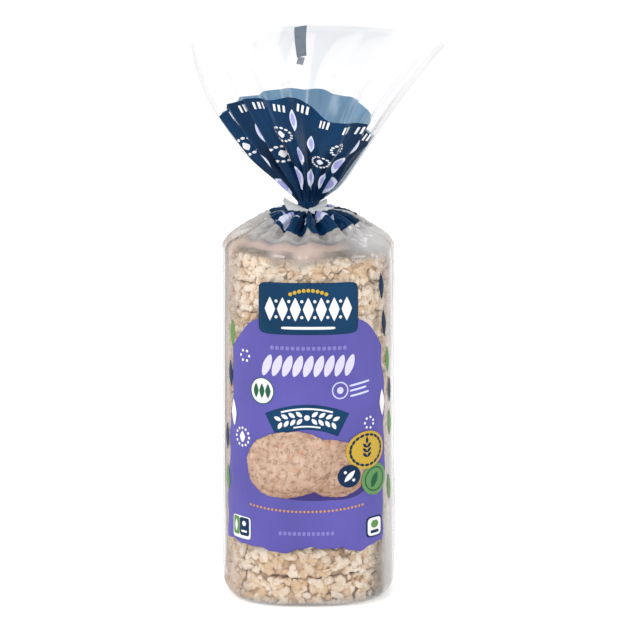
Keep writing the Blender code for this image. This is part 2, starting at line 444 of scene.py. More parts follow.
def makeClearFilm(film):
    # A see-through layer, greyer edge on, veiled where the haze value says, with gloss by
    # Fresnel on top. The veil's colour carries painted shade and painted highlight.
    material, tree, shader, output = startMaterial(film["name"])
    shader.inputs["Roughness"].default_value = 0.45
    shader.inputs["Specular IOR Level"].default_value = 0.2
    # The veil's colour: white where crumpled (film whitening with painted highlight), grey and dark painted shade on
    # the flanks and folds, warm over the rice.
    hazeTintAndShade = addNode(tree, "ShaderNodeAttribute", {"attribute_name": "hazeTintAndShade"})
    milk = makeRamp(tree, hazeTintAndShade.outputs["Fac"], [
        (0.0, film["whiteMilk"]), (0.33, film["greyMilk"]), (0.66, film["warmMilk"]), (1.0, film["foldShade"])])
    tree.links.new(milk.outputs[0], shader.inputs["Base Color"])
    haze = addNode(tree, "ShaderNodeAttribute", {"attribute_name": "haze"})
    crinkle = placeGroup(tree, filmCrinkle, Size=film["creaseSize"], Stretch=0.35)
    bump = addNode(tree, "ShaderNodeBump", Strength=film["bump"], Distance=0.0006,
                   Height=crinkle.outputs["Ridge"])
    cloud = addNode(tree, "ShaderNodeMapRange", Value=crinkle.outputs["Slow"], _1=0.3, _2=0.7, _3=0.55, _4=1.45)
    veil = addNode(tree, "ShaderNodeMath", {"operation": "MULTIPLY", "use_clamp": True},
                   _0=haze.outputs["Fac"], _1=cloud.outputs[0])
    turned = addNode(tree, "ShaderNodeLayerWeight", Blend=0.35)
    see = makeRamp(tree, turned.outputs["Facing"], [(0.15, film["tint"]), (0.95, film["edgeTint"])])
    clear = addNode(tree, "ShaderNodeBsdfTransparent", Color=see.outputs[0])
    tree.links.new(bump.outputs[0], shader.inputs["Normal"])
    body = addNode(tree, "ShaderNodeMixShader", Fac=veil.outputs[0], _1=clear.outputs[0], _2=shader.outputs[0])
    mirror = addNode(tree, "ShaderNodeBsdfGlossy", Color=(1, 1, 1, 1), Roughness=film["roughness"],
                     Normal=bump.outputs[0])
    edge = addNode(tree, "ShaderNodeFresnel", IOR=1.5)
    rising = addNode(tree, "ShaderNodeMath", {"operation": "MULTIPLY"}, _0=edge.outputs[0], _1=film["gloss"])
    shine = addNode(tree, "ShaderNodeMath", {"operation": "MINIMUM"}, _0=rising.outputs[0], _1=film["mostGloss"])
    dull = makeRamp(tree, hazeTintAndShade.outputs["Fac"], [
        (0.36, (1, 1, 1)), (0.60, (0.35, 0.35, 0.35)), (0.95, (0.08, 0.08, 0.08))])
    gloss = addNode(tree, "ShaderNodeMath", {"operation": "MULTIPLY"}, _0=shine.outputs[0], _1=dull.outputs[0])
    top = addNode(tree, "ShaderNodeMixShader", Fac=gloss.outputs[0], _1=body.outputs[0], _2=mirror.outputs[0])
    tree.links.new(top.outputs[0], output.inputs["Surface"])
    return material


def makeInk(name, colour, shade=0.12, gloss=0.08, inside=None):
    # Printed film: the ink's colour drifts a little and fine creases catch the light. On gathered
    # film the inside shows a paler colour, and the fold value paints shade into the gathers.
    material, tree, shader, output = startMaterial(name)
    shader.inputs["Roughness"].default_value = 0.40
    shader.inputs["Specular IOR Level"].default_value = gloss
    crinkle = placeGroup(tree, filmCrinkle, Size=70.0, Stretch=0.6)
    low = tuple(c * (1 - shade) for c in colour)
    high = tuple(min(1.0, c * (1 + shade)) for c in colour)
    ramp = makeRamp(tree, crinkle.outputs["Slow"], [(0.3, low), (0.7, high)])
    shown = ramp.outputs[0]
    if inside:
        fold = addNode(tree, "ShaderNodeAttribute", {"attribute_name": "fold"})
        # Painted shade: the fold value darkens the gathers.
        shown = blended(tree, fold.outputs["Fac"], shown, (0.30, 0.30, 0.36), "MULTIPLY")
        geometry = addNode(tree, "ShaderNodeNewGeometry")
        shown = blended(tree, geometry.outputs["Backfacing"], shown, inside)
    tree.links.new(shown, shader.inputs["Base Color"])
    bump = addNode(tree, "ShaderNodeBump", Strength=0.25, Distance=0.0004, Height=crinkle.outputs["Ridge"])
    tree.links.new(bump.outputs[0], shader.inputs["Normal"])
    return material


rice = {
    "pale": (0.93, 0.81, 0.665),
    "toast": (0.74, 0.51, 0.30),
    # the painted shade in the gaps between grains
    "gap": (0.43, 0.26, 0.14),
    "bran": (0.36, 0.20, 0.09),
}


def makePuffedRice():
    # Cream grains toasted unevenly, with painted shade in the gaps between them, bran flecks and a
    # spongy surface.
    material, tree, shader, output = startMaterial("puffedRice")
    shader.inputs["Roughness"].default_value = 0.72
    shader.inputs["Specular IOR Level"].default_value = 0.3
    depth = addNode(tree, "ShaderNodeAttribute", {"attribute_name": "depth"})
    tint = addNode(tree, "ShaderNodeAttribute", {"attribute_name": "tint"})
    place = addNode(tree, "ShaderNodeTexCoord")
    patchy = addNode(tree, "ShaderNodeTexNoise", Vector=place.outputs["Object"], Scale=260.0, Detail=3.0)
    toasting = addNode(tree, "ShaderNodeMath", {"operation": "MULTIPLY"},
                       _0=patchy.outputs["Fac"], _1=tint.outputs["Fac"])
    grain = makeRamp(tree, toasting.outputs[0], [(0.05, rice["pale"]), (0.62, rice["toast"])])
    speck = addNode(tree, "ShaderNodeTexNoise", Vector=place.outputs["Object"], Scale=520.0, Detail=1.0)
    fleck = addNode(tree, "ShaderNodeMapRange", Value=speck.outputs["Fac"], _1=0.66, _2=0.74, _3=0.0, _4=0.7)
    spotted = blended(tree, fleck.outputs[0], grain.outputs[0], rice["bran"])
    # Painted shade: browner the deeper the point lies between the grains.
    sunk = addNode(tree, "ShaderNodeMapRange", {"interpolation_type": "SMOOTHSTEP"}, Value=depth.outputs["Fac"],
                   _1=0.30, _2=1.0, _3=0.0, _4=1.0)
    tree.links.new(blended(tree, sunk.outputs[0], spotted, rice["gap"]), shader.inputs["Base Color"])
    pores = addNode(tree, "ShaderNodeTexVoronoi", Vector=place.outputs["Object"], Scale=950.0)
    lumps = addNode(tree, "ShaderNodeTexVoronoi", {"feature": "SMOOTH_F1"}, Vector=place.outputs["Object"],
                    Scale=380.0, Smoothness=0.4)
    blisters = addNode(tree, "ShaderNodeBump", {"invert": True}, Strength=0.8, Distance=0.0012,
                       Height=lumps.outputs["Distance"])
    bump = addNode(tree, "ShaderNodeBump", Strength=0.35, Distance=0.0004, Height=pores.outputs["Distance"],
                   Normal=blisters.outputs[0])
    tree.links.new(bump.outputs[0], shader.inputs["Normal"])
    return material


def makePicturedCake():
    # A flat picture of a puffed surface: soft tan patches, broken dark lines between warped cells
    # of two sizes, and a few orange flecks.
    material, tree, shader, output = startMaterial("picturedCake")
    shader.inputs["Roughness"].default_value = 0.36
    place = addNode(tree, "ShaderNodeTexCoord")
    mottle = addNode(tree, "ShaderNodeTexNoise", Vector=place.outputs["Object"], Scale=190.0, Detail=7.0,
                     Roughness=0.66)
    shown = makeRamp(tree, mottle.outputs["Fac"], [
        (0.36, (0.60, 0.425, 0.325)), (0.52, (0.50, 0.335, 0.24)), (0.68, (0.38, 0.23, 0.155))]).outputs[0]
    warp = addNode(tree, "ShaderNodeTexNoise", Vector=place.outputs["Object"], Scale=320.0, Detail=3.0)
    shift = addNode(tree, "ShaderNodeVectorMath", {"operation": "SCALE"}, _0=warp.outputs["Color"], Scale=0.006)
    moved = addNode(tree, "ShaderNodeVectorMath", {"operation": "ADD"}, _0=place.outputs["Object"],
                    _1=shift.outputs[0])
    broken = addNode(tree, "ShaderNodeTexNoise", Vector=place.outputs["Object"], Scale=420.0, Detail=2.0)
    for cellScale, most in [(190.0, 0.75), (430.0, 0.28)]:
        cells = addNode(tree, "ShaderNodeTexVoronoi", {"feature": "DISTANCE_TO_EDGE"}, Vector=moved.outputs[0],
                        Scale=cellScale)
        line = addNode(tree, "ShaderNodeMapRange", {"interpolation_type": "SMOOTHSTEP"},
                       Value=cells.outputs["Distance"], _1=0.0, _2=0.16, _3=most, _4=0.0)
        part = addNode(tree, "ShaderNodeMapRange", Value=broken.outputs["Fac"], _1=0.44, _2=0.60, _3=0.0, _4=1.0)
        crack = addNode(tree, "ShaderNodeMath", {"operation": "MULTIPLY"}, _0=line.outputs[0], _1=part.outputs[0])
        shown = blended(tree, crack.outputs[0], shown, (0.24, 0.12, 0.075))
    speck = addNode(tree, "ShaderNodeTexNoise", Vector=place.outputs["Object"], Scale=230.0, Detail=1.0)
    fleck = addNode(tree, "ShaderNodeMapRange", Value=speck.outputs["Fac"], _1=0.64, _2=0.74, _3=0.0, _4=0.6)
    shown = blended(tree, fleck.outputs[0], shown, (0.56, 0.23, 0.11))
    shade = addNode(tree, "ShaderNodeAttribute", {"attribute_name": "shade"})
    shown = blended(tree, shade.outputs["Fac"], shown, (0.70, 0.60, 0.53), "MULTIPLY")
    tree.links.new(shown, shader.inputs["Base Color"])
    return material


def makeMilkyPlastic():
    # Whitish translucent strip plastic with faint ribs.
    material, tree, shader, output = startMaterial("milkyPlastic")
    shader.inputs["Roughness"].default_value = 0.3
    crinkle = placeGroup(tree, filmCrinkle, Size=200.0, Stretch=0.4)
    ramp = makeRamp(tree, crinkle.outputs["Slow"], [(0.3, (0.49, 0.51, 0.51)), (0.7, (0.67, 0.68, 0.685))])
    tree.links.new(ramp.outputs[0], shader.inputs["Base Color"])
    bump = addNode(tree, "ShaderNodeBump", Strength=0.12, Distance=0.0004, Height=crinkle.outputs["Ridge"])
    tree.links.new(bump.outputs[0], shader.inputs["Normal"])
    return material


ink = {
    "violet": makeInk("inkViolet", (0.101, 0.088, 0.338), 0.11),
    "navy": makeInk("inkNavy", (0.006, 0.040, 0.098), 0.15),
    "gatheredNavy": makeInk("inkGatheredNavy", (0.001, 0.026, 0.078), 0.45, 0.12, (0.19, 0.37, 0.54)),
    "darkNavy": makeInk("inkDarkNavy", (0.006, 0.024, 0.068), 0.15),
    "white": makeInk("inkWhite", (0.74, 0.74, 0.77), 0.03),
    "titleWhite": makeInk("inkTitleWhite", (0.60, 0.57, 0.74), 0.04),
    "paleLavender": makeInk("inkPaleLavender", (0.52, 0.56, 0.78), 0.08, 0.15, (0.62, 0.66, 0.80)),
    "softLavender": makeInk("inkSoftLavender", (0.20, 0.18, 0.50), 0.06),
    "lavender": makeInk("inkLavender", (0.20, 0.17, 0.58), 0.10, 0.15, (0.34, 0.34, 0.66)),
    "yellow": makeInk("inkYellow", (0.51, 0.34, 0.045), 0.05),
    "green": makeInk("inkGreen", (0.10, 0.24, 0.065), 0.08),
    "darkGreen": makeInk("inkDarkGreen", (0.02, 0.10, 0.05), 0.08),
    "paleGreen": makeInk("inkPaleGreen", (0.115, 0.262, 0.095), 0.08),
    "orange": makeInk("inkOrange", (0.50, 0.25, 0.13), 0.05),
    "plum": makeInk("inkPlum", (0.045, 0.035, 0.16), 0.08),
    "grey": makeInk("inkGrey", (0.27, 0.305, 0.365), 0.14),
    "paleGrey": makeInk("inkPaleGrey", (0.40, 0.42, 0.46), 0.14),
}
bodyMaterial = makeClearFilm(clearFilm)
flareMaterial = makeClearFilm(gatheredFilm)
puffedRice = makePuffedRice()
picturedCake = makePicturedCake()
milkyPlastic = makeMilkyPlastic()
print("finishes made")


# ---- film ----

bodyFilm = {
    "columns": 400,
    "baseRows": 8,
    "edgeRows": 10,
    "wallRows": 146,
    "bendRows": 8,
    "bend": 3.2 * mm,       # how far below its corner the wall starts to turn in
    "bendClimb": 0.075,
    "shoulderRows": 58,
    "neckRows": 9,
    "hazeFront": 0.03,
    "hazeFlank": 0.70,      # where the film turns away from the front
    "hazeEar": 0.24,        # in the folded edges left and right
    "hazeShoulder": 0.81,
    "hazeBase": 0.45,
}


def veilAt(angle, height):
    # The film is clear in front, milky on the flanks and over the top cake, whiter where it is
    # crumpled on one shoulder (film whitening, partly painted highlight), with painted shade on the
    # flanks and along the fold beside each ear, and paler near the base. Gives haze and hazeTintAndShade.
    turns, rise = angle / fullTurn, height / 0.26
    side = np.abs(np.cos(angle)) + 0.022 * (smoothNoise(turns, rise, 4, 11, 83) - 0.5)
    right = easeStep(np.cos(angle), 0.15, 0.85)
    widening = 0.24 * np.exp(-height / (30 * mm)) * (1 - 0.5 * right)
    flank = easeStep(side, 0.80 - widening, 0.935 - 0.4 * widening)
    ear = easeStep(side, 0.945, 0.970)
    slack = 9 * mm * (smoothNoise(turns, rise, 38, 24, 73) - 0.5)
    top = easeStep(height + slack, 0.2002, 0.2104)
    bare = easeStep(height, shoulderFoot + 0.0035, shoulderFoot + 0.0085)
    foot = np.exp(-(height / (6 * mm)) ** 2)
    upright = smoothNoise(turns, rise, 56, 3, 71)
    streaks = creaseNoise(turns, rise, 40, 44, 61, 6) + creaseNoise(turns, rise, 90, 60, 67, 6)
    haze = bodyFilm["hazeFront"] + bodyFilm["hazeFlank"] * flank * (0.55 + 0.6 * upright)
    haze = haze + (bodyFilm["hazeEar"] * (0.4 + 1.2 * upright) - haze) * ear
    cloudy = bodyFilm["hazeShoulder"] * (0.85 + 0.3 * smoothNoise(turns, rise, 14, 16, 79)) * (1 - 0.25 * bare)
    haze = haze + (cloudy - haze) * top * (1 - 0.6 * ear)
    haze = np.maximum(haze, bodyFilm["hazeBase"] * foot) + streaks * (0.45 * top * (0.3 * bare + right) + 0.25 * foot)
    # Haze tone: painted shade on the flanks, grey on the right and darker on the left, then warm over the top cake
    # and whiter where crumpled.
    hazeTintAndShade = 0.22 + (0.69 - 0.57 * right) * flank * (1 - ear)
    hazeTintAndShade = hazeTintAndShade + (0.66 - 0.54 * np.maximum(right, bare) - hazeTintAndShade) * top
    # Paler near the base: painted light against the shade under the bend.
    hazeTintAndShade = hazeTintAndShade * (1 - 0.35 * np.exp(-height / (12 * mm)))
    # Painted shade along the fold beside each ear.
    leftFold = np.exp(-((np.cos(angle) + 0.950) / 0.009) ** 2) * easeStep(height, 0.02, 0.20)
    rightFold = np.exp(-((np.cos(angle) - 0.974) / 0.011) ** 2) * easeStep(height, 0.12, 0.19)
    fold = (leftFold + 0.7 * rightFold) * (np.sin(angle) < 0)
    return np.clip(haze + 0.75 * fold, 0, 0.93), np.clip(hazeTintAndShade + fold, 0, 1)


def makeBodyFilm():
    angles = fullTurn * np.arange(bodyFilm["columns"]) / bodyFilm["columns"]
    rows, heights = [], []
    for share in np.linspace(0.08, 0.98, bodyFilm["baseRows"]):
        reach = share * outlineReach(angles, 0.0, bag["baseEdge"])
        rows.append(np.stack([reach * np.cos(angles), reach * np.sin(angles), 0 * angles], axis=-1))
        heights.append(0.0)
    bend = np.linspace(0, 0.5 * math.pi, bodyFilm["edgeRows"])
    wall = np.concatenate([
        bag["baseEdge"] * (1 - np.cos(bend)),
        np.linspace(bag["baseEdge"], shoulderFoot - bodyFilm["bend"], bodyFilm["wallRows"])[1:],
    ])
    angle, height = np.meshgrid(angles, wall)
    weight = np.clip(height / bag["baseEdge"], 0, 1) ** 2
    rows.extend(liftedFrom(wallShape, angle, height, weight * bodyRipple(angle, height)))
    heights.extend(wall)
    climbs = 1 - np.cos(0.5 * math.pi * np.linspace(0, 1, bodyFilm["shoulderRows"])) ** 0.75
    climbs = climbs[climbs > bodyFilm["bendClimb"]]
    angle, climb = np.meshgrid(angles, climbs)
    shoulder = liftedFrom(shoulderShape, angle, climb, shoulderRipple(angle, climb))
    # A quadratic curve rounds the corner: (1-t)^2 wall + 2t(1-t) corner + t^2 shoulder.
    wallTop = rows[-1]
    corner = wallTop + np.array([0, 0, bodyFilm["bend"]])
    for share in np.linspace(0, 1, bodyFilm["bendRows"] + 2)[1:-1]:
        rows.append((1 - share) ** 2 * wallTop + 2 * share * (1 - share) * corner
                    + share ** 2 * shoulder[0])
        heights.append(shoulderFoot - (1 - share) * bodyFilm["bend"])
    rows.extend(shoulder)
    heights.extend(shoulderFoot + 0.03 * climbs)
    for share in np.linspace(0, 1, bodyFilm["neckRows"])[1:]:
        level = neckFoot + share * (neckTop - neckFoot) + 0 * angles
        reach = neckReach(level)
        rows.append(np.stack([reach * np.cos(angles), reach * np.sin(angles), level], axis=-1))
        heights.append(shoulderFoot + 0.03)
    points = np.stack(rows)
    shape = skin(points, True, (0, 0, 0), (0, 0, neckTop))
    angle, height = np.meshgrid(angles, np.array(heights))
    haze, hazeTintAndShade = veilAt(angle, height)
    haze = np.append(haze.ravel(), [bodyFilm["hazeBase"], bodyFilm["hazeShoulder"]])
    hazeTintAndShade = np.append(hazeTintAndShade.ravel(), [0, 0])
    return makePiece("bag_film", shape, bodyMaterial, {"haze": haze, "hazeTintAndShade": hazeTintAndShade}, "bag")


flareFilm = {"columns": 420, "rows": 130, "haze": 0.015, "hazeEdge": 0.20}


def makeFlareFilm():
    angles = fullTurn * np.arange(flareFilm["columns"]) / flareFilm["columns"]
    climbs = np.linspace(0, 1, flareFilm["rows"]) ** 1.2
    angle, climb = np.meshgrid(angles, climbs)
    points = flareShape(angle, climb)
    haze = flareFilm["haze"] + flareFilm["hazeEdge"] * np.abs(np.cos(angle)) ** 40
    haze = np.concatenate([haze.ravel(), [flareFilm["haze"]]])
    shape = skin(points, True, (0, 0, neckTop))
    return makePiece("bag_flare", shape, flareMaterial, {"haze": haze}, "bag")


makeBodyFilm()
makeFlareFilm()
print("film made")


# ---- rice cakes ----

cake = {
    "radius": 0.0464,      # the mould wall that flattens the grains
    "coreRadius": 0.0439,
    "clearance": 0.0008,   # kept free inside the film
    "faceGap": 0.00005,
    "seamWave": 3.0 * mm,
    "seamPressing": 0.08 * mm,
    "leanAcross": 1.6 * mm,  # how far the stack leans to one side from bottom to top
    "leanStart": -0.2 * mm,
    "rings": 4,
    "roundCount": 50,
    "fillCount": 170,
    "faceSpacing": 0.0054,
    "roundJitter": 0.22,
    "levelJitter": 0.15,
    "across": 4.2 * mm,    # half sizes of a grain: round the cake, up, and outwards
    "upright": 4.0 * mm,
    "outward": 3.3 * mm,
    "spread": 0.22,
    "uneven": 0.12,
    "lumps": 0.16,
    "pressing": 0.22 * mm,
}
blob = {"rings": 5, "columns": 9}


def blobDirections():
    # Unit directions of a small globe with one vertex at each pole.
    polar = math.pi * np.arange(1, blob["rings"] + 1) / (blob["rings"] + 1)
    turn = fullTurn * np.arange(blob["columns"]) / blob["columns"]
    polar, turn = np.meshgrid(polar, turn, indexing="ij")
    grid = np.stack([np.sin(polar) * np.cos(turn), np.sin(polar) * np.sin(turn), -np.cos(polar)], axis=-1)
    return skin(grid, True, (0, 0, -1), (0, 0, 1))


def randomTurns(draw, count):
    # Random rotation matrices, each the orthogonal part of three random columns.
    loose = draw.normal(size=(count, 3, 3))
    turned, scale = np.linalg.qr(loose)
    return turned * np.sign(np.diagonal(scale, axis1=1, axis2=2))[:, None, :]


def softLimit(value, limit, width):
    # Bends smoothly from value to limit over width, so that a face looks pressed flat.
    return limit - width * np.logaddexp(0, (limit - value) / width)


def seamLevel(number, x, y):
    # The wavy surface between one cake and the next: crossed sines of two lengths, level at both
    # ends of the stack.
    if number in (0, bag["cakes"]):
        return 0 * x
    slow = np.sin(150 * x + 2.1 * number) * np.cos(130 * y + 1.3 * number)
    quick = np.sin(640 * x + 3.7 * number) * np.cos(590 * y + 2.9 * number)
    return cake["seamWave"] * (0.36 * slow + 0.64 * quick)


def moulded(points, number, low, high):
    # Presses points inside the mould wall or the film, whichever is nearer, and between the seams.
    reach = np.hypot(points[..., 0], points[..., 1])
    angle = np.arctan2(points[..., 1], points[..., 0])
    height = np.clip(points[..., 2], 0.2 * mm, None)
    film = np.hypot(*np.moveaxis(wallShape(angle, height)[..., :2], -1, 0)) - cake["clearance"]
    pressed = softLimit(reach, np.minimum(cake["radius"], film), cake["pressing"])
    points[..., :2] *= (pressed / np.maximum(reach, 1e-9))[..., None]
    ceiling = high + seamLevel(number + 1, points[..., 0], points[..., 1])
    floor = low + seamLevel(number, points[..., 0], points[..., 1])
    points[..., 2] = softLimit(points[..., 2], ceiling, cake["seamPressing"])
    points[..., 2] = -softLimit(-points[..., 2], -floor, cake["seamPressing"])
    return points


def grainCloud(draw, centres, frames, halves, number, low, high):
    # Each grain: globe directions times its half sizes, swollen by three random waves, tilted a
    # little, set in its own frame, then pressed into the mould.
    directions, quads, triangles = blobDirections()
    count, each = len(centres), len(directions)
    waves = draw.normal(size=(count, 3, 3)) * 2.2
    phases = draw.random((count, 3)) * fullTurn
    swell = np.sin(np.einsum("gwk,dk->gwd", waves, directions) + phases[:, :, None]).sum(axis=1)
    local = directions[None] * (1 + cake["lumps"] * swell[:, :, None]) * halves[:, None, :]
    tilt = randomTurns(draw, count)
    mixed = 0.72 * np.eye(3)[None] + 0.28 * tilt
    local = np.einsum("gij,gdj->gdi", mixed, local)
    points = centres[:, None, :] + np.einsum("gij,gdj->gdi", frames, local)
    points = moulded(points, number, low, high)
    starts = each * np.arange(count)[:, None, None]
    tint = np.repeat(0.10 + 1.3 * draw.random(count) ** 1.8, each)
    shape = (points.reshape(-1, 3), (quads[None] + starts).reshape(-1, 4),
             (triangles[None] + starts).reshape(-1, 3))
    return shape, tint


def grainHalves(draw, size, count):
    # Half sizes: the mean sizes times one random factor for the grain and a slight one each way.
    whole = np.exp(cake["spread"] * draw.normal(size=(count, 1)))
    return size * whole * np.exp(cake["uneven"] * draw.normal(size=(count, 3)))


def rimFrames(turn):
    # Columns of each frame: round the cake, up, and outwards.
    zero, one = 0 * turn, 1 + 0 * turn
    around = np.stack([-np.sin(turn), np.cos(turn), zero], axis=-1)
    upright = np.stack([zero, zero, one], axis=-1)
    outward = np.stack([np.cos(turn), np.sin(turn), zero], axis=-1)
    return np.stack([around, upright, outward], axis=-1)


def rimGrains(draw, number, low, high):
    # Rows of grains round the rim, jittered, with smaller ones filling between them.
    ring, place = np.meshgrid(np.arange(cake["rings"]), np.arange(cake["roundCount"]), indexing="ij")
    turn = fullTurn * (place + 0.5 * (ring % 2) + cake["roundJitter"] * draw.normal(size=ring.shape))
    turn = turn / cake["roundCount"]
    pitch = (high - low) / cake["rings"]
    level = low + pitch * (ring + 0.5 + cake["levelJitter"] * draw.normal(size=ring.shape))
    turn, level = turn.ravel(), level.ravel()
    size = np.array([cake["across"], cake["upright"], cake["outward"]])
    halves = grainHalves(draw, size, len(turn))
    reach = cake["radius"] - halves[:, 2] * (0.50 + 0.34 * draw.random(len(turn)))
    fillTurn = fullTurn * draw.random(cake["fillCount"])
    fillLevel = low + (high - low) * draw.random(cake["fillCount"])
    fillHalves = 0.62 * grainHalves(draw, size, cake["fillCount"])
    fillReach = cake["radius"] - 1.5 * mm * draw.random(cake["fillCount"]) - 1.1 * mm
    turn = np.concatenate([turn, fillTurn])
    level = np.clip(np.concatenate([level, fillLevel]), low + 1.2 * mm, high - 1.2 * mm)
    halves = np.concatenate([halves, fillHalves])
    reach = np.concatenate([reach, fillReach])
    centres = np.stack([reach * np.cos(turn), reach * np.sin(turn), level], axis=-1)
    return grainCloud(draw, centres, rimFrames(turn), halves, number, low, high)


def faceGrains(draw, number, low, high):
    # A jittered sunflower spread of grains over the top face.
    count = int((cake["coreRadius"] / cake["faceSpacing"]) ** 2 * math.pi * 1.15)
    order = np.arange(count) + 0.5
    reach = cake["coreRadius"] * np.sqrt(order / count) + 0.7 * mm * draw.normal(size=count)
    turn = order * math.pi * (3 - math.sqrt(5)) + 0.08 * draw.normal(size=count)
    size = np.array([cake["across"], cake["across"], cake["outward"]])
    halves = grainHalves(draw, size, count)
    level = high - halves[:, 2] * (0.50 + 0.34 * draw.random(count))
    centres = np.stack([reach * np.cos(turn), reach * np.sin(turn), level], axis=-1)
    frames = np.repeat(np.eye(3)[None], count, axis=0)
    return grainCloud(draw, centres, frames, halves, number, low, high)


def cakeCore(number, low, high):
    # A lumpy drum: radius and both faces carry value noise.
    columns = 160
    angles = fullTurn * np.arange(columns) / columns
    profile = [(share, 0.0) for share in np.linspace(0.1, 0.95, 9)]
    profile += [(1.0, rise) for rise in np.linspace(0.06, 0.94, 8)]
    profile += [(share, 1.0) for share in np.linspace(0.95, 0.1, 9)]
    share, rise = np.array(profile).T
    angle, share2 = np.meshgrid(angles, share)
    rise2 = np.repeat(rise[:, None], columns, axis=1)
    rough = smoothNoise(angle / fullTurn, (share2 + rise2) / 2, 80, 14, 300 + number) - 0.5
    reach = share2 * (cake["coreRadius"] + 1.6 * mm * rough)
    top = high - (1.5 * mm if number == bag["cakes"] - 1 else -0.6 * mm)
    bottom = low - 0.6 * mm
    level = bottom + (top - bottom) * rise2 + 1.4 * mm * rough * (2 * rise2 - 1)
    points = np.stack([reach * np.cos(angle), reach * np.sin(angle), level], axis=-1)
    points = moulded(points, number, low, high)
    return skin(points, True, points[0].mean(axis=0), points[-1].mean(axis=0))


def makeCakes():
    for number in range(bag["cakes"]):
        draw = np.random.default_rng(100 + number)
        low = number * bag["cakeThickness"] + cake["faceGap"] + 0.6 * mm
        high = (number + 1) * bag["cakeThickness"] - cake["faceGap"] + 0.6 * mm
        core = cakeCore(number, low, high)
        clouds = [rimGrains(draw, number, low, high)]
        if number == bag["cakes"] - 1:
            clouds.append(faceGrains(draw, number, low, high))
        shape = joinSkins([core] + [cloud[0] for cloud in clouds])
        tint = np.concatenate([np.full(len(core[0]), 0.8)] + [cloud[1] for cloud in clouds])
        vertices = shape[0]
        # Painted shade: how deep a point lies inside the rim, or below the top face on the top cake, weaker on the
        # upper cakes.
        fromRim = (cake["radius"] - np.hypot(vertices[:, 0], vertices[:, 1])) / (3.4 * mm)
        fromFace = (high - vertices[:, 2]) / (4.5 * mm) if number == bag["cakes"] - 1 else 9.0
        depth = np.clip(np.minimum(fromRim, fromFace), 0, 1) * (1 - 0.35 * number / (bag["cakes"] - 1))
        vertices[:, 0] += cake["leanAcross"] * (number / (bag["cakes"] - 1) - 0.5) + cake["leanStart"]
        makePiece(f"rice_cake_{number + 1:02d}", shape, puffedRice, {"depth": depth, "tint": tint}, "bag")


makeCakes()
print("rice cakes made")


# ---- print on the wrapped body ----

outlineTable = np.linspace(-math.pi, math.pi, 2001)
outlinePoints = wallShape(outlineTable, np.full(2001, 0.1))
outlineRun = np.concatenate([[0], np.cumsum(np.linalg.norm(np.diff(outlinePoints, axis=0), axis=1))])


def angleAt(centre, run):
    # The angle that lies that far round the outline from a centre angle.
    home = np.interp(centre, outlineTable, outlineRun)
    whole = outlineRun[-1]
    return np.interp(np.mod(home + run, whole), outlineRun, outlineTable)


def printPoint(centre, run, height, lift):
    angle = angleAt(centre, run)
    return liftedFrom(wallShape, angle, height, bodyRipple(angle, height) + lift)


def discPlaces(mark):
    # Share out from the centre, and turn round it.
    rings, spokes = mark.get("rings", 9), mark.get("spokes", 56)
    return np.linspace(1 / rings, 1, rings)[:, None], (fullTurn * np.arange(spokes) / spokes)[None, :]


def discGrid(mark):
    # Rings from near the centre out to a superellipse, turned by an angle: run and height, mm.
    # A rough rim adds three sines of the turn to its reach.
    share, turn = discPlaces(mark)
    power = mark.get("power", 2.0)
    reach = (np.abs(np.cos(turn)) ** power + np.abs(np.sin(turn)) ** power) ** (-1 / power)
    uneven = np.sin(11 * turn + 1) + 0.8 * np.sin(19 * turn + 2.6) + 0.7 * np.sin(37 * turn)
    reach = reach * (1 + mark.get("rough", 0) * uneven)
    u = share * reach * np.cos(turn) * mark["size"][0]
    v = share * reach * np.sin(turn) * mark["size"][1]
    spin = math.radians(mark.get("turn", 0))
    run = mark["at"][0] + u * math.cos(spin) - v * math.sin(spin)
    height = mark["at"][1] + u * math.sin(spin) + v * math.cos(spin)
    return run, height, True


def ringGrid(mark):
    # A band between a superellipse and the same one drawn in by the line width.
    turn = (fullTurn * np.arange(64) / 64)[None, :]
    power = mark.get("power", 2.0)
    reach = (np.abs(np.cos(turn)) ** power + np.abs(np.sin(turn)) ** power) ** (-1 / power)
    inset = np.array([mark["line"], 0.0])[:, None]
    run = mark["at"][0] + (mark["size"][0] - inset) * reach * np.cos(turn)
    height = mark["at"][1] + (mark["size"][1] - inset) * reach * np.sin(turn)
    return run, height, True


def leafGrid(mark):
    # A leaf from at, length long, turned: its half width is a sine of the share along it, and
    # its midrib bows sideways.
    along = np.linspace(0, 1, mark.get("steps", 19))[:, None]
    across = np.linspace(-1, 1, mark.get("rows", 7))[None, :]
    half = mark["width"] * np.sin(math.pi * along) ** mark.get("blunt", 0.8)
    bow = mark.get("bow", 0.0) * np.sin(math.pi * along)
    u, v = along * mark["length"] + 0 * across, across * half + bow
    spin = math.radians(mark["turn"])
    run = mark["at"][0] + u * math.cos(spin) - v * math.sin(spin)
    height = mark["at"][1] + u * math.sin(spin) + v * math.cos(spin)
    return run, height, False


def arcGrid(mark):
    # A strip along a circle: centre line radius, from one angle to another, half width.
    turn = np.radians(np.linspace(mark["start"], mark["stop"], mark.get("steps", 40)))[:, None]
    across = np.linspace(-1, 1, mark.get("rows", 9))[None, :]
    reach = mark["radius"] + across * mark["half"]
    run = mark["at"][0] + reach * np.cos(turn)
    height = mark["at"][1] + reach * np.sin(turn)
    return run, height, False


gridMakers = {"disc": discGrid, "ring": ringGrid, "leaf": leafGrid, "arc": arcGrid}


def markSkin(centre, mark, lift):
    run, height, wrap = gridMakers[mark["kind"]](mark)
    if wrap:
        points = printPoint(centre, run * mm, height * mm, lift)
        if mark["kind"] == "disc":
            middle = printPoint(centre, np.array([mark["at"][0] * mm]), np.array([mark["at"][1] * mm]), lift)
            return skin(points, True, middle[0])
        return skin(points, True)
    return skin(printPoint(centre, run * mm, height * mm, lift), False)


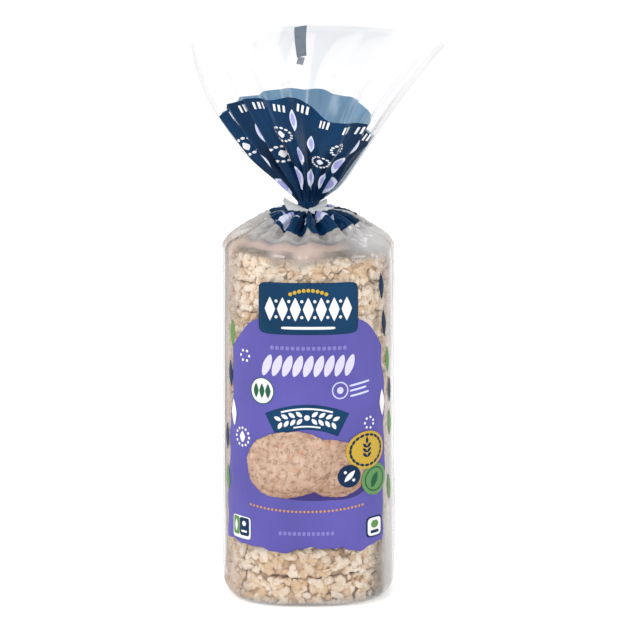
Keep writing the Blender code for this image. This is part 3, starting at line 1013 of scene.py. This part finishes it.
def facingOut(shape):
    # Turns every face so that its normal points away from the bag's axis.
    vertices, quads, triangles = shape
    turned = []
    for faces in (quads, triangles):
        if len(faces):
            corner = vertices[faces]
            normal = np.cross(corner[:, 1] - corner[:, 0], corner[:, 2] - corner[:, 0])
            middle = corner.mean(axis=1) * np.array([1, 1, 0])
            wrong = (normal * middle).sum(axis=1) < 0
            faces = np.where(wrong[:, None], faces[:, ::-1], faces)
        turned.append(faces)
    return vertices, turned[0], turned[1]


def makePrint(name, marks, material, lift, centre=frontAngle, values=None):
    shape = joinSkins([facingOut(markSkin(centre, mark, lift * mm)) for mark in marks])
    return makePiece(name, shape, material, values, "bag", 0.06 * mm)


def pictureShade(mark):
    # Darker towards the rim and the lower side: share cubed, weighted by how far down it is.
    share, turn = discPlaces(mark)
    shade = mark["dim"] + (1 - mark["dim"]) * share ** 3 * (0.30 + 0.60 * np.clip(-np.sin(turn), 0, 1))
    return {"shade": np.concatenate([shade.ravel(), [mark["dim"]]])}


panel = {
    "top": 171.5,
    "shoulderDrop": 20.0,
    "bottom": 35.3,
    "wave": 1.5,
    "columns": 190,
    "rows": 150,
}


def panelEdges(share, run):
    # Upper edge: level in the middle, rounded down at both ends. Lower edge: three slow waves.
    top = panel["top"] - panel["shoulderDrop"] * np.abs(share) ** 5
    bottom = panel["bottom"] + panel["wave"] * (
        np.sin(run / 9.0 + 0.6) + 0.5 * np.sin(run / 4.3 + 2.0) + 0.25 * np.sin(run / 1.7))
    return top, bottom


def makePanel(name, centre, settings, lift):
    # Run is the share across times a half width that grows downwards, height blends the edges.
    share = np.linspace(-1, 1, panel["columns"])[None, :]
    rise = np.linspace(0, 1, panel["rows"])[:, None]
    top, bottom = panelEdges(share, share * 60)
    height = bottom + (top - bottom) * rise
    down = np.clip((panel["top"] - height) / (panel["top"] - panel["bottom"]), 0, 1)
    edgeWave = 0.9 * np.sin(height / 6.5 + 1.5 * share) + 0.5 * np.sin(height / 2.9)
    left = settings["left"][0] + (settings["left"][1] - settings["left"][0]) * down ** 0.8
    right = settings["right"][0] + (settings["right"][1] - settings["right"][0]) * down ** 0.8
    right = right + settings["swell"] * np.sin(math.pi * down)
    half = np.where(share < 0, left, right) + edgeWave
    points = printPoint(centre, share * half * mm, height * mm, lift * mm)
    shape = facingOut(skin(points, False))
    return makePiece(name, shape, ink["violet"], None, "bag", 0.06 * mm)


# Half widths at the top and at the bottom, to the left and to the right of the middle, and how
# much wider the right side is half way down.
makePanel("front_panel", frontAngle, {"left": (46.5, 58.0), "right": (44.5, 47.5), "swell": 4.8}, 0.12)
makePanel("back_panel", backAngle, {"left": (40.0, 48.0), "right": (40.0, 48.0), "swell": 0.0}, 0.12)


def grainRow(at, count, pitch, size, lean):
    # Plain grain shapes in a row that all lean one way.
    first = at[0] - 0.5 * pitch * (count - 1)
    return [{"kind": "disc", "at": (first + pitch * i, at[1]), "size": size, "turn": lean, "power": 1.7}
            for i in range(count)]


def dotArc(at, radius, start, stop, count, size):
    angles = np.radians(np.linspace(start, stop, count))
    return [{"kind": "disc", "at": (at[0] + radius * math.cos(a), at[1] + radius * math.sin(a)),
             "size": (size, size), "rings": 3, "spokes": 20} for a in angles]


def lozenges(places, size, lean=0):
    return [{"kind": "disc", "at": at, "size": size, "power": 1.3, "turn": lean} for at in places]


def sprig(at, turn, scale, pairs):
    # Leaves in pairs up a stem.
    spin = math.radians(turn)
    leaves = []
    for i in range(pairs):
        along = scale * (1.5 + 2.4 * i)
        root = (at[0] + along * math.cos(spin), at[1] + along * math.sin(spin))
        for side in (-1, 1):
            leaves.append({"kind": "leaf", "at": root, "length": 3.4 * scale, "width": 0.75 * scale,
                           "turn": turn + side * 48})
    tip = scale * (1.0 + 2.4 * pairs)
    leaves.append({"kind": "leaf", "at": (at[0] + tip * math.cos(spin), at[1] + tip * math.sin(spin)),
                   "length": 3.6 * scale, "width": 0.8 * scale, "turn": turn})
    return leaves


makePrint("banner_plate", [
    {"kind": "disc", "at": (0, 176.5), "size": (29.3, 15.0), "power": 11.0, "spokes": 240},
], ink["navy"], 0.26)
makePrint("banner_lozenges", [
    {"kind": "disc", "at": (-22.2 + 7.4 * i, 176.2), "size": (3.1, 6.9), "power": 1.1} for i in range(7)
] + [
    {"kind": "disc", "at": (-18.5 + 7.4 * i, 176.2 + 4.6 * side), "size": (0.9, 0.9)}
    for i in range(6) for side in (-1, 1)
] + [
    {"kind": "disc", "at": (0, 165.4), "size": (15.5, 0.8), "power": 6.0},
], ink["white"], 0.38)
makePrint("banner_dots", dotArc((0.0, 162.0), 25.2, 66, 114, 9, 1.15), ink["yellow"], 0.50)
makePrint("heading", grainRow((0, 143.3), 9, 6.0, (2.5, 6.6), -20), ink["titleWhite"], 0.26)
makePrint("heading_line", [
    {"kind": "disc", "at": (-21.0 + 3.0 * i, 153.6), "size": (1.1, 1.2), "power": 3.0} for i in range(15)
], ink["softLavender"], 0.26)
arcBand = {"at": (-0.8, 67.9), "radius": 45.7, "half": 7.3, "spread": 27.3}


def onArc(reach, turn, mark):
    # A mark set on the arc band, that far out and that far round from straight up.
    a = math.radians(90 - turn)
    at = (arcBand["at"][0] + reach * math.cos(a), arcBand["at"][1] + reach * math.sin(a))
    return dict(mark, at=at, turn=mark.get("lean", 0) - turn)


def arcStrip(radius, half, spread):
    return {"kind": "arc", "at": arcBand["at"], "radius": radius, "half": half, "start": 90 + spread,
            "stop": 90 - spread, "steps": 60, "rows": 15}


makePrint("arc_plate", [arcStrip(arcBand["radius"], arcBand["half"], arcBand["spread"])], ink["navy"], 0.26)
arcLeaves = [
    onArc(45.4 + 0.5 * side, turn, {"kind": "leaf", "length": 4.6, "width": 1.15,
                                    "lean": 90 - way * (90 - 44 * side)})
    for way in (-1, 1) for turn in way * np.linspace(3.4, 18.6, 4) for side in (-1, 1)
]
makePrint("arc_marks", [arcStrip(50.6, 0.5, 17), arcStrip(40.3, 0.45, 11)] + arcLeaves + [
    onArc(45.4, 0, {"kind": "disc", "size": (1.6, 1.6)})], ink["white"], 0.38)
makePrint("picture_shadow", [
    {"kind": "disc", "at": (4.0, 69.2), "size": (26.0, 4.6)},
    {"kind": "disc", "at": (17.0, 70.7), "size": (17.0, 6.0)},
], ink["plum"], 0.26)
for name, mark, lift in [
    ("picture_cake_far_side", {"at": (13.7, 82.0), "size": (21.0, 15.4), "turn": -12, "dim": 0.75}, 0.30),
    ("picture_cake_far", {"at": (13.7, 84.4), "size": (21.0, 15.6), "turn": -12, "dim": 0.45}, 0.38),
    ("picture_cake_near_side", {"at": (-11.9, 84.5), "size": (24.8, 18.4), "power": 2.2, "turn": 8,
                                "dim": 0.45}, 0.46),
    ("picture_cake_near", {"at": (-11.6, 86.9), "size": (25.2, 17.9), "power": 2.2, "turn": 8,
                           "dim": 0.0}, 0.54),
]:
    mark.update(kind="disc", spokes=180, rough=0.009)
    makePrint(name, [mark], picturedCake, lift, frontAngle, pictureShade(mark))
makePrint("round_yellow", [
    {"kind": "disc", "at": (35.0, 92.3), "size": (13.6, 11.1)},
], ink["yellow"], 0.62)
makePrint("round_yellow_ring", sprig((35.0, 86.4), 90, 1.15, 3) + [
    {"kind": "disc", "at": (35.0 + 10.9 * math.cos(a), 92.3 + 8.9 * math.sin(a)), "size": (1.5, 0.75),
     "turn": math.degrees(a) + 90} for a in fullTurn * np.arange(20) / 20
], ink["darkNavy"], 0.74)
makePrint("round_navy", [
    {"kind": "disc", "at": (23.5, 78.2), "size": (6.9, 6.6)},
], ink["darkNavy"], 0.74)
makePrint("round_green", [
    {"kind": "disc", "at": (41.0, 74.2), "size": (9.8, 9.4)},
], ink["paleGreen"], 0.60)
makePrint("round_marks", [
    {"kind": "leaf", "at": (20.4, 75.0), "length": 9.0, "width": 1.5, "turn": 45},
    {"kind": "disc", "at": (21.0, 80.6), "size": (0.9, 0.9)},
    {"kind": "disc", "at": (26.0, 75.8), "size": (0.9, 0.9)},
], ink["white"], 0.86)
makePrint("round_green_marks", [
    {"kind": "ring", "at": (41.0, 74.2), "size": (7.6, 7.2), "line": 0.7},
    {"kind": "leaf", "at": (38.4, 69.6), "length": 9.6, "width": 2.3, "turn": 62},
], ink["darkGreen"], 0.72)
makePrint("seal_plate", [
    {"kind": "disc", "at": (-27.0, 128.0), "size": (7.4, 7.8)},
], ink["white"], 0.26)
makePrint("seal_lines", [
    {"kind": "ring", "at": (18.3, 128.8), "size": (4.9, 5.1), "line": 0.8},
    {"kind": "disc", "at": (18.3, 128.8), "size": (1.9, 2.0)},
    {"kind": "disc", "at": (30.4, 132.0), "size": (6.6, 0.6), "power": 6.0, "turn": 8},
    {"kind": "disc", "at": (29.4, 128.9), "size": (5.4, 0.6), "power": 6.0, "turn": 8},
    {"kind": "disc", "at": (30.4, 125.9), "size": (6.2, 0.6), "power": 6.0, "turn": 8},
], ink["paleLavender"], 0.26)
makePrint("seal_green", [
    {"kind": "ring", "at": (-27.0, 128.0), "size": (7.4, 7.8), "line": 0.5},
] + lozenges([(-30.7, 128.0), (-27.0, 128.0), (-23.3, 128.0)], (1.6, 4.2)), ink["darkGreen"], 0.38)
makePrint("orange_line", dotArc((-2.0, 310.0), 252.0, 262.6, 277.8, 30, 0.75), ink["orange"], 0.26)
makePrint("small_tiles", [
    {"kind": "disc", "at": (-41.9, 45.3), "size": (7.4, 6.6), "power": 9.0, "spokes": 120},
    {"kind": "disc", "at": (41.0, 45.9), "size": (5.3, 5.3), "power": 5.0},
], ink["white"], 0.38)
makePrint("small_tile_edge", [
    {"kind": "disc", "at": (41.0, 45.9), "size": (6.4, 6.2), "power": 5.0},
], ink["darkNavy"], 0.26)
makePrint("small_tile_green", [
    {"kind": "disc", "at": (-45.9, 45.9), "size": (2.6, 5.3), "power": 8.0},
    {"kind": "disc", "at": (41.0, 47.4), "size": (2.9, 2.3)},
], ink["green"], 0.50)
makePrint("small_tile_navy", [
    {"kind": "disc", "at": (-39.3, 45.9), "size": (3.7, 5.3), "power": 8.0},
    {"kind": "disc", "at": (41.0, 43.0), "size": (3.2, 0.9), "power": 6.0},
], ink["darkNavy"], 0.50)
makePrint("small_tile_marks", [
    {"kind": "disc", "at": (-45.9, 45.9), "size": (1.2, 3.6), "power": 1.3},
    {"kind": "disc", "at": (-39.3, 47.8), "size": (1.5, 1.5)},
    {"kind": "disc", "at": (-39.3, 43.2), "size": (2.2, 0.6), "power": 6.0},
], ink["white"], 0.62)
makePrint("foot_line", [
    {"kind": "disc", "at": (-1.0 - 15.0 + 2.7 * i, 45.0), "size": (1.0, 1.2), "power": 3.0} for i in range(12)
], ink["softLavender"], 0.26)
# Marks down both sides of the panel, as run and height of each.
sideMarks = {
    "green": [(-50.5, 158.0), (-56.0, 72.0), (54.0, 142.0), (57.0, 66.0), (58.0, 104.0)],
    "darkNavy": [(-53.0, 134.0), (-57.5, 96.0), (47.5, 186.0), (50.0, 164.0), (57.0, 124.0)],
    "white": [(-49.0, 112.0), (48.0, 118.0)],
}
for colour, places in sideMarks.items():
    makePrint("side_marks_" + colour, lozenges(places, (2.5, 7.8), 4), ink[colour], 0.38)
makePrint("white_rings", dotArc((-41.0, 99.0), 5.2, 0, 330, 12, 0.8) + lozenges([(-41.0, 99.0)], (2.2, 3.4))
          + dotArc((37.0, 108.0), 3.2, 20, 340, 7, 0.75) + dotArc((-39.0, 147.0), 3.2, 0, 300, 6, 0.8),
          ink["white"], 0.26)
makePrint("back_block", [
    {"kind": "disc", "at": (0.0, 118.0), "size": (30.0, 34.0), "power": 9.0, "spokes": 240},
    {"kind": "disc", "at": (0.0, 62.0), "size": (24.0, 11.0), "power": 9.0, "spokes": 240},
], ink["white"], 0.26, backAngle)
makePrint("back_lines", [{"kind": "disc", "at": (0.0, 145.0 - 6.0 * i), "size": (26.0, 0.5), "power": 8.0}
                         for i in range(10)], ink["darkNavy"], 0.38, backAngle)
print("print made")


# ---- print on the gathered film ----

gathered = {
    "frontSpan": (-170.0, -2.0),   # the sides are left clear
    "backSpan": (4.0, 168.0),
    "skirtEdge": 0.555,            # how far up the shoulder the print starts, as climb
    "skirtLean": 0.085,            # and how much further down it reaches on one side
    "skirtDrop": 0.185,            # and at the front
    "skirtDropAt": -98.0,
    "skirtDropWidth": 36.0,
    "skirtScallop": 0.045,
    "skirtSlit": 0.13,
    "lift": 0.30 * mm,
}


def gatheredPrint(name, shapeOf, rippleOf, spans, edges, paintedShadeOf, material, lift, columns=300, rows=90):
    # Angle and climb run between a lower and an upper edge that vary round the bag.
    skins, paintedShades = [], []
    for span in spans:
        angles = np.radians(np.linspace(*span, columns))[None, :]
        low, high = edges(angles)
        climb = low + (high - low) * np.linspace(0, 1, rows)[:, None]
        angle = angles + 0 * climb
        skins.append(skin(liftedFrom(shapeOf, angle, climb, rippleOf(angle, climb) + lift), False))
        # The painted shade in the gathers goes in the fold value.
        paintedShades.append(paintedShadeOf(angle, climb).ravel())
    return makePiece(name, joinSkins(skins), material, {"fold": np.concatenate(paintedShades)}, "bag")


def stillFilm(angle, climb):
    return 0 * angle * climb


def flarePrintEdges(angle):
    # The front sheet's upper edge swells left of the middle and falls away to the right corner;
    # the back sheet's falls away to the same corner.
    turn = np.degrees(angle)
    wave = flare["printWave"] * (np.sin(5 * angle + 1) + 0.6 * np.sin(11 * angle))
    swell = 0.052 * np.exp(-((turn + 94) / 15) ** 2)
    frontFall = 0.030 * easeStep(turn, -84, -66) + 0.12 * easeStep(turn, -44, -4)
    backFall = 0.026 + 0.085 * easeStep(-turn, -42, -8)
    upper = flare["printTop"] + wave + np.where(turn < 0, swell - frontFall, -backFall)
    return 0 * angle, upper


def skirtPrintEdges(angle):
    # The lower edge hangs in scallops that follow the pleats, lowest at the front in a bell
    # curve, with a narrow slit in the middle.
    turn = np.degrees(angle)
    drop = gathered["skirtDrop"] * np.exp(-((turn - gathered["skirtDropAt"]) / gathered["skirtDropWidth"]) ** 2)
    slit = gathered["skirtSlit"] * np.exp(-((turn + 90.5) / 2.6) ** 2)
    lean = gathered["skirtLean"] * np.cos(angle)
    lower = gathered["skirtEdge"] - lean - drop + slit - gathered["skirtScallop"] * pleatWave(angle)
    return lower, 0.988 + 0 * angle


def flarePaintedShade(angle, climb):
    # Painted shade: dark at the neck in a bell curve of climb, and in the hollows of the deep folds above it.
    hollow = np.clip(-deepFold(angle), 0, 1) ** 0.7 * np.exp(-((climb - 0.20) / 0.24) ** 2)
    return np.clip(0.45 * np.exp(-(climb / 0.13) ** 2) + 0.85 * hollow, 0, 1)


def skirtPaintedShade(angle, climb):
    # Painted shade in the hollows of the pleats, more so near the neck.
    return np.clip(-pleatWave(angle), 0, 1) * easeStep(climb, 0.45, 0.95) * 0.8


bothSpans = (gathered["frontSpan"], gathered["backSpan"])
gatheredPrint("flare_print", flareShape, stillFilm, bothSpans, flarePrintEdges, flarePaintedShade,
              ink["gatheredNavy"], gathered["lift"])
gatheredPrint("skirt_print", shoulderShape, shoulderRipple, bothSpans, skirtPrintEdges, skirtPaintedShade,
              ink["gatheredNavy"], gathered["lift"], 300, 50)


def sheetMark(shapeOf, rippleOf, mark, lift):
    # A mark laid on gathered film: its run is degrees round, its height is climb in hundredths.
    run, height, wrap = gridMakers[mark["kind"]](mark)
    angle, climb = np.radians(run), height * 0.01
    points = liftedFrom(shapeOf, angle, climb, rippleOf(angle, climb) + lift)
    if mark["kind"] != "disc":
        return skin(points, wrap)
    angle, climb = np.radians(np.array([mark["at"][0]])), np.array([mark["at"][1]]) * 0.01
    return skin(points, True, liftedFrom(shapeOf, angle, climb, rippleOf(angle, climb) + lift)[0])


def makeSheetMarks(name, shapeOf, rippleOf, marks, material, lift):
    shape = joinSkins([sheetMark(shapeOf, rippleOf, mark, lift * mm) for mark in marks])
    return makePiece(name, shape, material, None, "bag")


def bar(at, length, width, turn):
    # A straight bar: a leaf shape whose sides stay apart.
    return {"kind": "leaf", "at": at, "length": length, "width": width, "turn": turn, "blunt": 0.0}


flarePattern = {
    "rows": (12, 27, 41, 53),   # climb of each row in hundredths
    "pitch": 28,                # degrees between places in a row
    "leaf": 14.0,
    "ring": 4.6,
    "dashPitch": 17,
}


def printTop(turn):
    return 100 * float(flarePrintEdges(np.radians(turn))[1])


def flarePlaces():
    # Staggered rows of places where the print is high enough, leaves and rings by turns.
    places = []
    for row, climb in enumerate(flarePattern["rows"]):
        start = -166 + flarePattern["pitch"] // 2 * (row % 2)
        for column, turn in enumerate(range(start, 166, flarePattern["pitch"])):
            ringed = row > 0 and (row + column) % 2 == 0
            if abs(turn) > 12 and climb + (15 if ringed else 9) < printTop(turn):
                places.append((turn, climb, ringed))
    return places


def degreesAt(climb):
    # Degrees round the flare that are as long as one hundredth of climb.
    return 1 / (0.15 + 0.01 * climb)


def flareLeaf(turn, climb, share, rise):
    # One of a pair of leaves, the upper one a share of the lower one's size.
    length = flarePattern["leaf"] * share
    lean = 90 - 0.12 * (turn + 90)
    return {"kind": "leaf", "at": (turn, climb - 0.5 * length + rise), "length": length,
            "width": 2.1 * share * degreesAt(climb), "turn": lean, "steps": 40, "rows": 12}


def dotRing(turn, climb):
    # Dots round a ring with a lozenge inside.
    reach, wide = flarePattern["ring"], degreesAt(climb)
    dots = [{"kind": "disc", "at": (turn + reach * wide * math.cos(a), climb + reach * math.sin(a)),
             "size": (0.75 * wide, 0.75), "rings": 3, "spokes": 14} for a in fullTurn * np.arange(14) / 14]
    return dots + [{"kind": "disc", "at": (turn, climb), "size": (1.5 * wide, 2.4), "power": 1.3}]


def dashes(turn):
    # Three short bars side by side under the print's upper edge.
    return [bar((turn + 3.0 * i, printTop(turn) - 6.5), 4.2, 0.75, 84) for i in range(3)]


leafPlaces = [place[:2] for place in flarePlaces() if not place[2]]
makeSheetMarks("flare_leaves_pale", flareShape, stillFilm, [
    flareLeaf(turn, climb, 1.0, 0.0) for turn, climb in leafPlaces], ink["paleLavender"], 0.42)
makeSheetMarks("flare_leaves_lavender", flareShape, stillFilm, [
    flareLeaf(turn, climb, 0.62, 0.8) for turn, climb in leafPlaces], ink["lavender"], 0.54)
makeSheetMarks("flare_rings", flareShape, stillFilm, [
    mark for turn, climb, ringed in flarePlaces() if ringed for mark in dotRing(turn, climb)],
    ink["white"], 0.42)
makeSheetMarks("flare_dashes", flareShape, stillFilm, [
    mark for start in (-160, 14) for turn in range(start, start + 144, flarePattern["dashPitch"])
    for mark in dashes(turn)], ink["white"], 0.42)
makeSheetMarks("flare_tape", flareShape, stillFilm, [bar((97.2, 99.0), 21.0, 2.7, -105.4)], ink["grey"], 0.30)
makeSheetMarks("flare_tape_end", flareShape, stillFilm, [bar((91.6, 78.4), 4.6, 2.0, -84)],
               ink["paleGrey"], 0.34)
skirtLeaves = [
    {"kind": "leaf", "at": (-146, 60), "length": 38, "width": 10.0, "turn": 12},
    {"kind": "leaf", "at": (-72, 78), "length": 36, "width": 8.5, "turn": -14},
    {"kind": "leaf", "at": (-96, 84), "length": 22, "width": 2.6, "turn": -84},
    {"kind": "leaf", "at": (40, 64), "length": 34, "width": 7.0, "turn": 10},
    {"kind": "leaf", "at": (110, 66), "length": 36, "width": 7.0, "turn": -8},
]
makeSheetMarks("skirt_leaves_pale", shoulderShape, shoulderRipple, [
    dict(leaf, steps=90, rows=24) for leaf in skirtLeaves], ink["paleLavender"], 0.50)
makeSheetMarks("skirt_leaves_lavender", shoulderShape, shoulderRipple, [
    {"kind": "leaf", "at": (-150, 72), "length": 26, "width": 4.5, "turn": 12, "steps": 90, "rows": 18},
    {"kind": "leaf", "at": (-72, 84), "length": 24, "width": 5.0, "turn": -20, "steps": 90, "rows": 18},
    {"kind": "leaf", "at": (44, 70), "length": 28, "width": 5.0, "turn": 12, "steps": 90, "rows": 18},
], ink["lavender"], 0.62)
print("gathered print made")


# ---- tie ----

# Each leaf is in millimetres from the knot: its reach, then the lower and upper edge and the
# depth as functions of the share out.
tieLeaves = {
    "tie_leaf_left": {
        "reach": -14.8,
        "low": lambda s: -0.5 - 2.3 * np.sin(math.pi * s ** 0.7) + 5.6 * s ** 5,
        "high": lambda s: 0.6 + 6.2 * s ** 1.2,
        "front": lambda s: -6.5 * np.sin(math.pi * s ** 0.8) - 4.0 * (1 - s),
        "back": lambda s: 2.6 * s - 4.5 * (1 - s),
    },
    "tie_leaf_right": {
        "reach": 14.3,
        "low": lambda s: -0.6 + 1.0 * s - 0.9 * np.sin(math.pi * s),
        "high": lambda s: 0.6 + 1.3 * np.sin(math.pi * s) + 0.7 * s,
        "front": lambda s: -6.0 * np.sin(math.pi * s ** 0.8) - 4.6 * (1 - s),
        "back": lambda s: -1.5 * s - 5.0 * (1 - s),
    },
    "tie_leaf_upper": {
        "reach": 10.4,
        "low": lambda s: 0.4 + 1.6 * s,
        "high": lambda s: 0.6 + 5.4 * s ** 0.55,
        "front": lambda s: -5.0 * (1 - s) - 1.0,
        "back": lambda s: -4.4 * (1 - s) + 2.0 * s,
    },
}


def bandShape(angle, turn):
    # A rounded strip section carried round the neck, its edges waving slightly.
    section = np.abs(np.cos(turn)) ** 0.6 * np.sign(np.cos(turn))
    reach = neckReach(tie["level"]) + tie["gap"] + 0.5 * tie["bandThickness"] * (1 + section)
    wave = 1 + 0.18 * np.sin(5 * angle + 1.0)
    rise = tie["bandHalf"] * wave * np.abs(np.sin(turn)) ** 0.6 * np.sign(np.sin(turn))
    return np.stack([reach * np.cos(angle), reach * np.sin(angle), tie["level"] + rise], axis=-1)


def leafShape(leaf, share, across):
    # Straight between the lower front edge and the upper back edge, with a fold along it.
    low, high = leaf["low"](share), leaf["high"](share)
    front, back = leaf["front"](share), leaf["back"](share)
    fold = 0.5 * np.sin(3 * math.pi * across + 2 * share) * share * (1 - share)
    x = leaf["reach"] * share + 0.6 * np.sin(math.pi * across) * share
    y = front + (back - front) * across + 1.4 * fold
    z = low + (high - low) * across ** 0.85 + fold
    return np.stack([x * mm, y * mm, tie["level"] + z * mm], axis=-1)


def makeTie():
    angle, turn = np.meshgrid(fullTurn * np.arange(72) / 72, fullTurn * np.arange(24) / 24, indexing="ij")
    points = bandShape(angle, turn)
    closed = np.concatenate([points, points[:1]])
    vertices, quads, triangles = skin(closed, True)
    count = 72 * 24
    quads = np.where(quads >= count, quads - count, quads)[:, ::-1]
    makePiece("tie_band", (vertices[:count], quads, triangles), milkyPlastic, None, "tie")
    for name, leaf in tieLeaves.items():
        share, across = np.meshgrid(np.linspace(0, 1, 30), np.linspace(0, 1, 14), indexing="ij")
        shape = skin(leafShape(leaf, share, across), False)
        makePiece(name, shape, milkyPlastic, None, "tie", tie["leafThickness"])


def makeNeckPrint():
    # The printed neck between the skirt and the flare, pleated like them. Its last rows run on
    # under the flare's print.
    angles = fullTurn * np.arange(240) / 240
    angle, share = np.meshgrid(angles, np.linspace(0, 1, 20))
    level = neckFoot - 0.3 * mm + share * (neckTop - neckFoot + 0.3 * mm)
    reach = neckReach(level) + (0.30 - 0.22 * share ** 4) * mm + 0.25 * mm * pleatWave(angle) * (1 - share ** 4)
    neck = np.stack([reach * np.cos(angle), reach * np.sin(angle), level], axis=-1)
    angle, climb = np.meshgrid(angles, np.linspace(0.002, 0.03, 6))
    points = np.concatenate([neck, liftedFrom(flareShape, angle, climb, 0.15 * mm)])
    makePiece("neck_print", skin(points, True), ink["gatheredNavy"], None, "bag")


makeNeckPrint()
makeTie()
print("tie made")


# ---- floor, light and camera ----


def makeFloor():
    material, tree, shader, output = startMaterial("paleFloor")
    shader.inputs["Roughness"].default_value = 0.85
    shader.inputs["Emission Color"].default_value = (1, 1, 1, 1)
    shader.inputs["Emission Strength"].default_value = 0.24
    place = addNode(tree, "ShaderNodeTexCoord")
    grain = addNode(tree, "ShaderNodeTexNoise", Vector=place.outputs["Object"], Scale=6.0, Detail=2.0)
    ramp = makeRamp(tree, grain.outputs["Fac"], [(0.3, (0.93, 0.93, 0.93)), (0.7, (0.95, 0.95, 0.95))])
    tree.links.new(ramp.outputs[0], shader.inputs["Base Color"])
    corners = 9.0 * np.array([(-1, -1, 0), (1, -1, 0), (1, 1, 0), (-1, 1, 0)], float)
    mesh = bpy.data.meshes.new("floor")
    mesh.from_pydata(corners.tolist(), [], [(0, 1, 2, 3)])
    mesh.materials.append(material)
    floor = bpy.data.objects.new("floor", mesh)
    floor.location = (0, 0, bagLow[2] - 0.0002)
    bpy.context.scene.collection.objects.link(floor)


def makeWorld():
    world = bpy.data.worlds.new("studio")
    world.use_nodes = True
    world.node_tree.nodes["Background"].inputs["Color"].default_value = (1, 1, 1, 1)
    world.node_tree.nodes["Background"].inputs["Strength"].default_value = 0.86
    bpy.context.scene.world = world
    bpy.context.scene.view_settings.view_transform = "Standard"


softBoxes = [
    {"name": "key_light", "at": (-0.9, -1.3, 1.5), "size": 0.7, "power": 15.0},
    {"name": "right_light", "at": (1.3, -0.7, 0.7), "size": 0.5, "power": 4.0},
    {"name": "left_strip", "at": (-1.4, 0.1, 0.5), "size": 0.3, "power": 2.0},
    {"name": "top_light", "at": (0.1, 0.6, 1.4), "size": 0.6, "power": 4.0},
]


def makeLights():
    for box in softBoxes:
        data = bpy.data.lights.new(box["name"], "AREA")
        data.size = box["size"]
        data.energy = box["power"]
        light = bpy.data.objects.new(box["name"], data)
        light.location = box["at"]
        aim = np.array([0, 0, 0.16]) - np.array(box["at"])
        light.rotation_euler = (math.acos(-aim[2] / np.linalg.norm(aim)), 0, math.atan2(aim[1], aim[0]) - math.pi / 2)
        bpy.context.scene.collection.objects.link(light)


view = {"lens": 213.0, "place": (0.0035, -2.10, 0.63), "aim": (0.0035, 0.0, 0.1627)}


def makeCamera():
    data = bpy.data.cameras.new("camera")
    data.lens = view["lens"]
    data.sensor_width = 36.0
    data.clip_end = 60.0
    camera = bpy.data.objects.new("camera", data)
    camera.location = view["place"]
    down = view["place"][2] - view["aim"][2]
    camera.rotation_euler = (math.atan2(view["aim"][1] - view["place"][1], down), 0, 0)
    bpy.context.scene.collection.objects.link(camera)
    bpy.context.scene.camera = camera


makeFloor()
makeWorld()
makeLights()
makeCamera()
print("stage made")
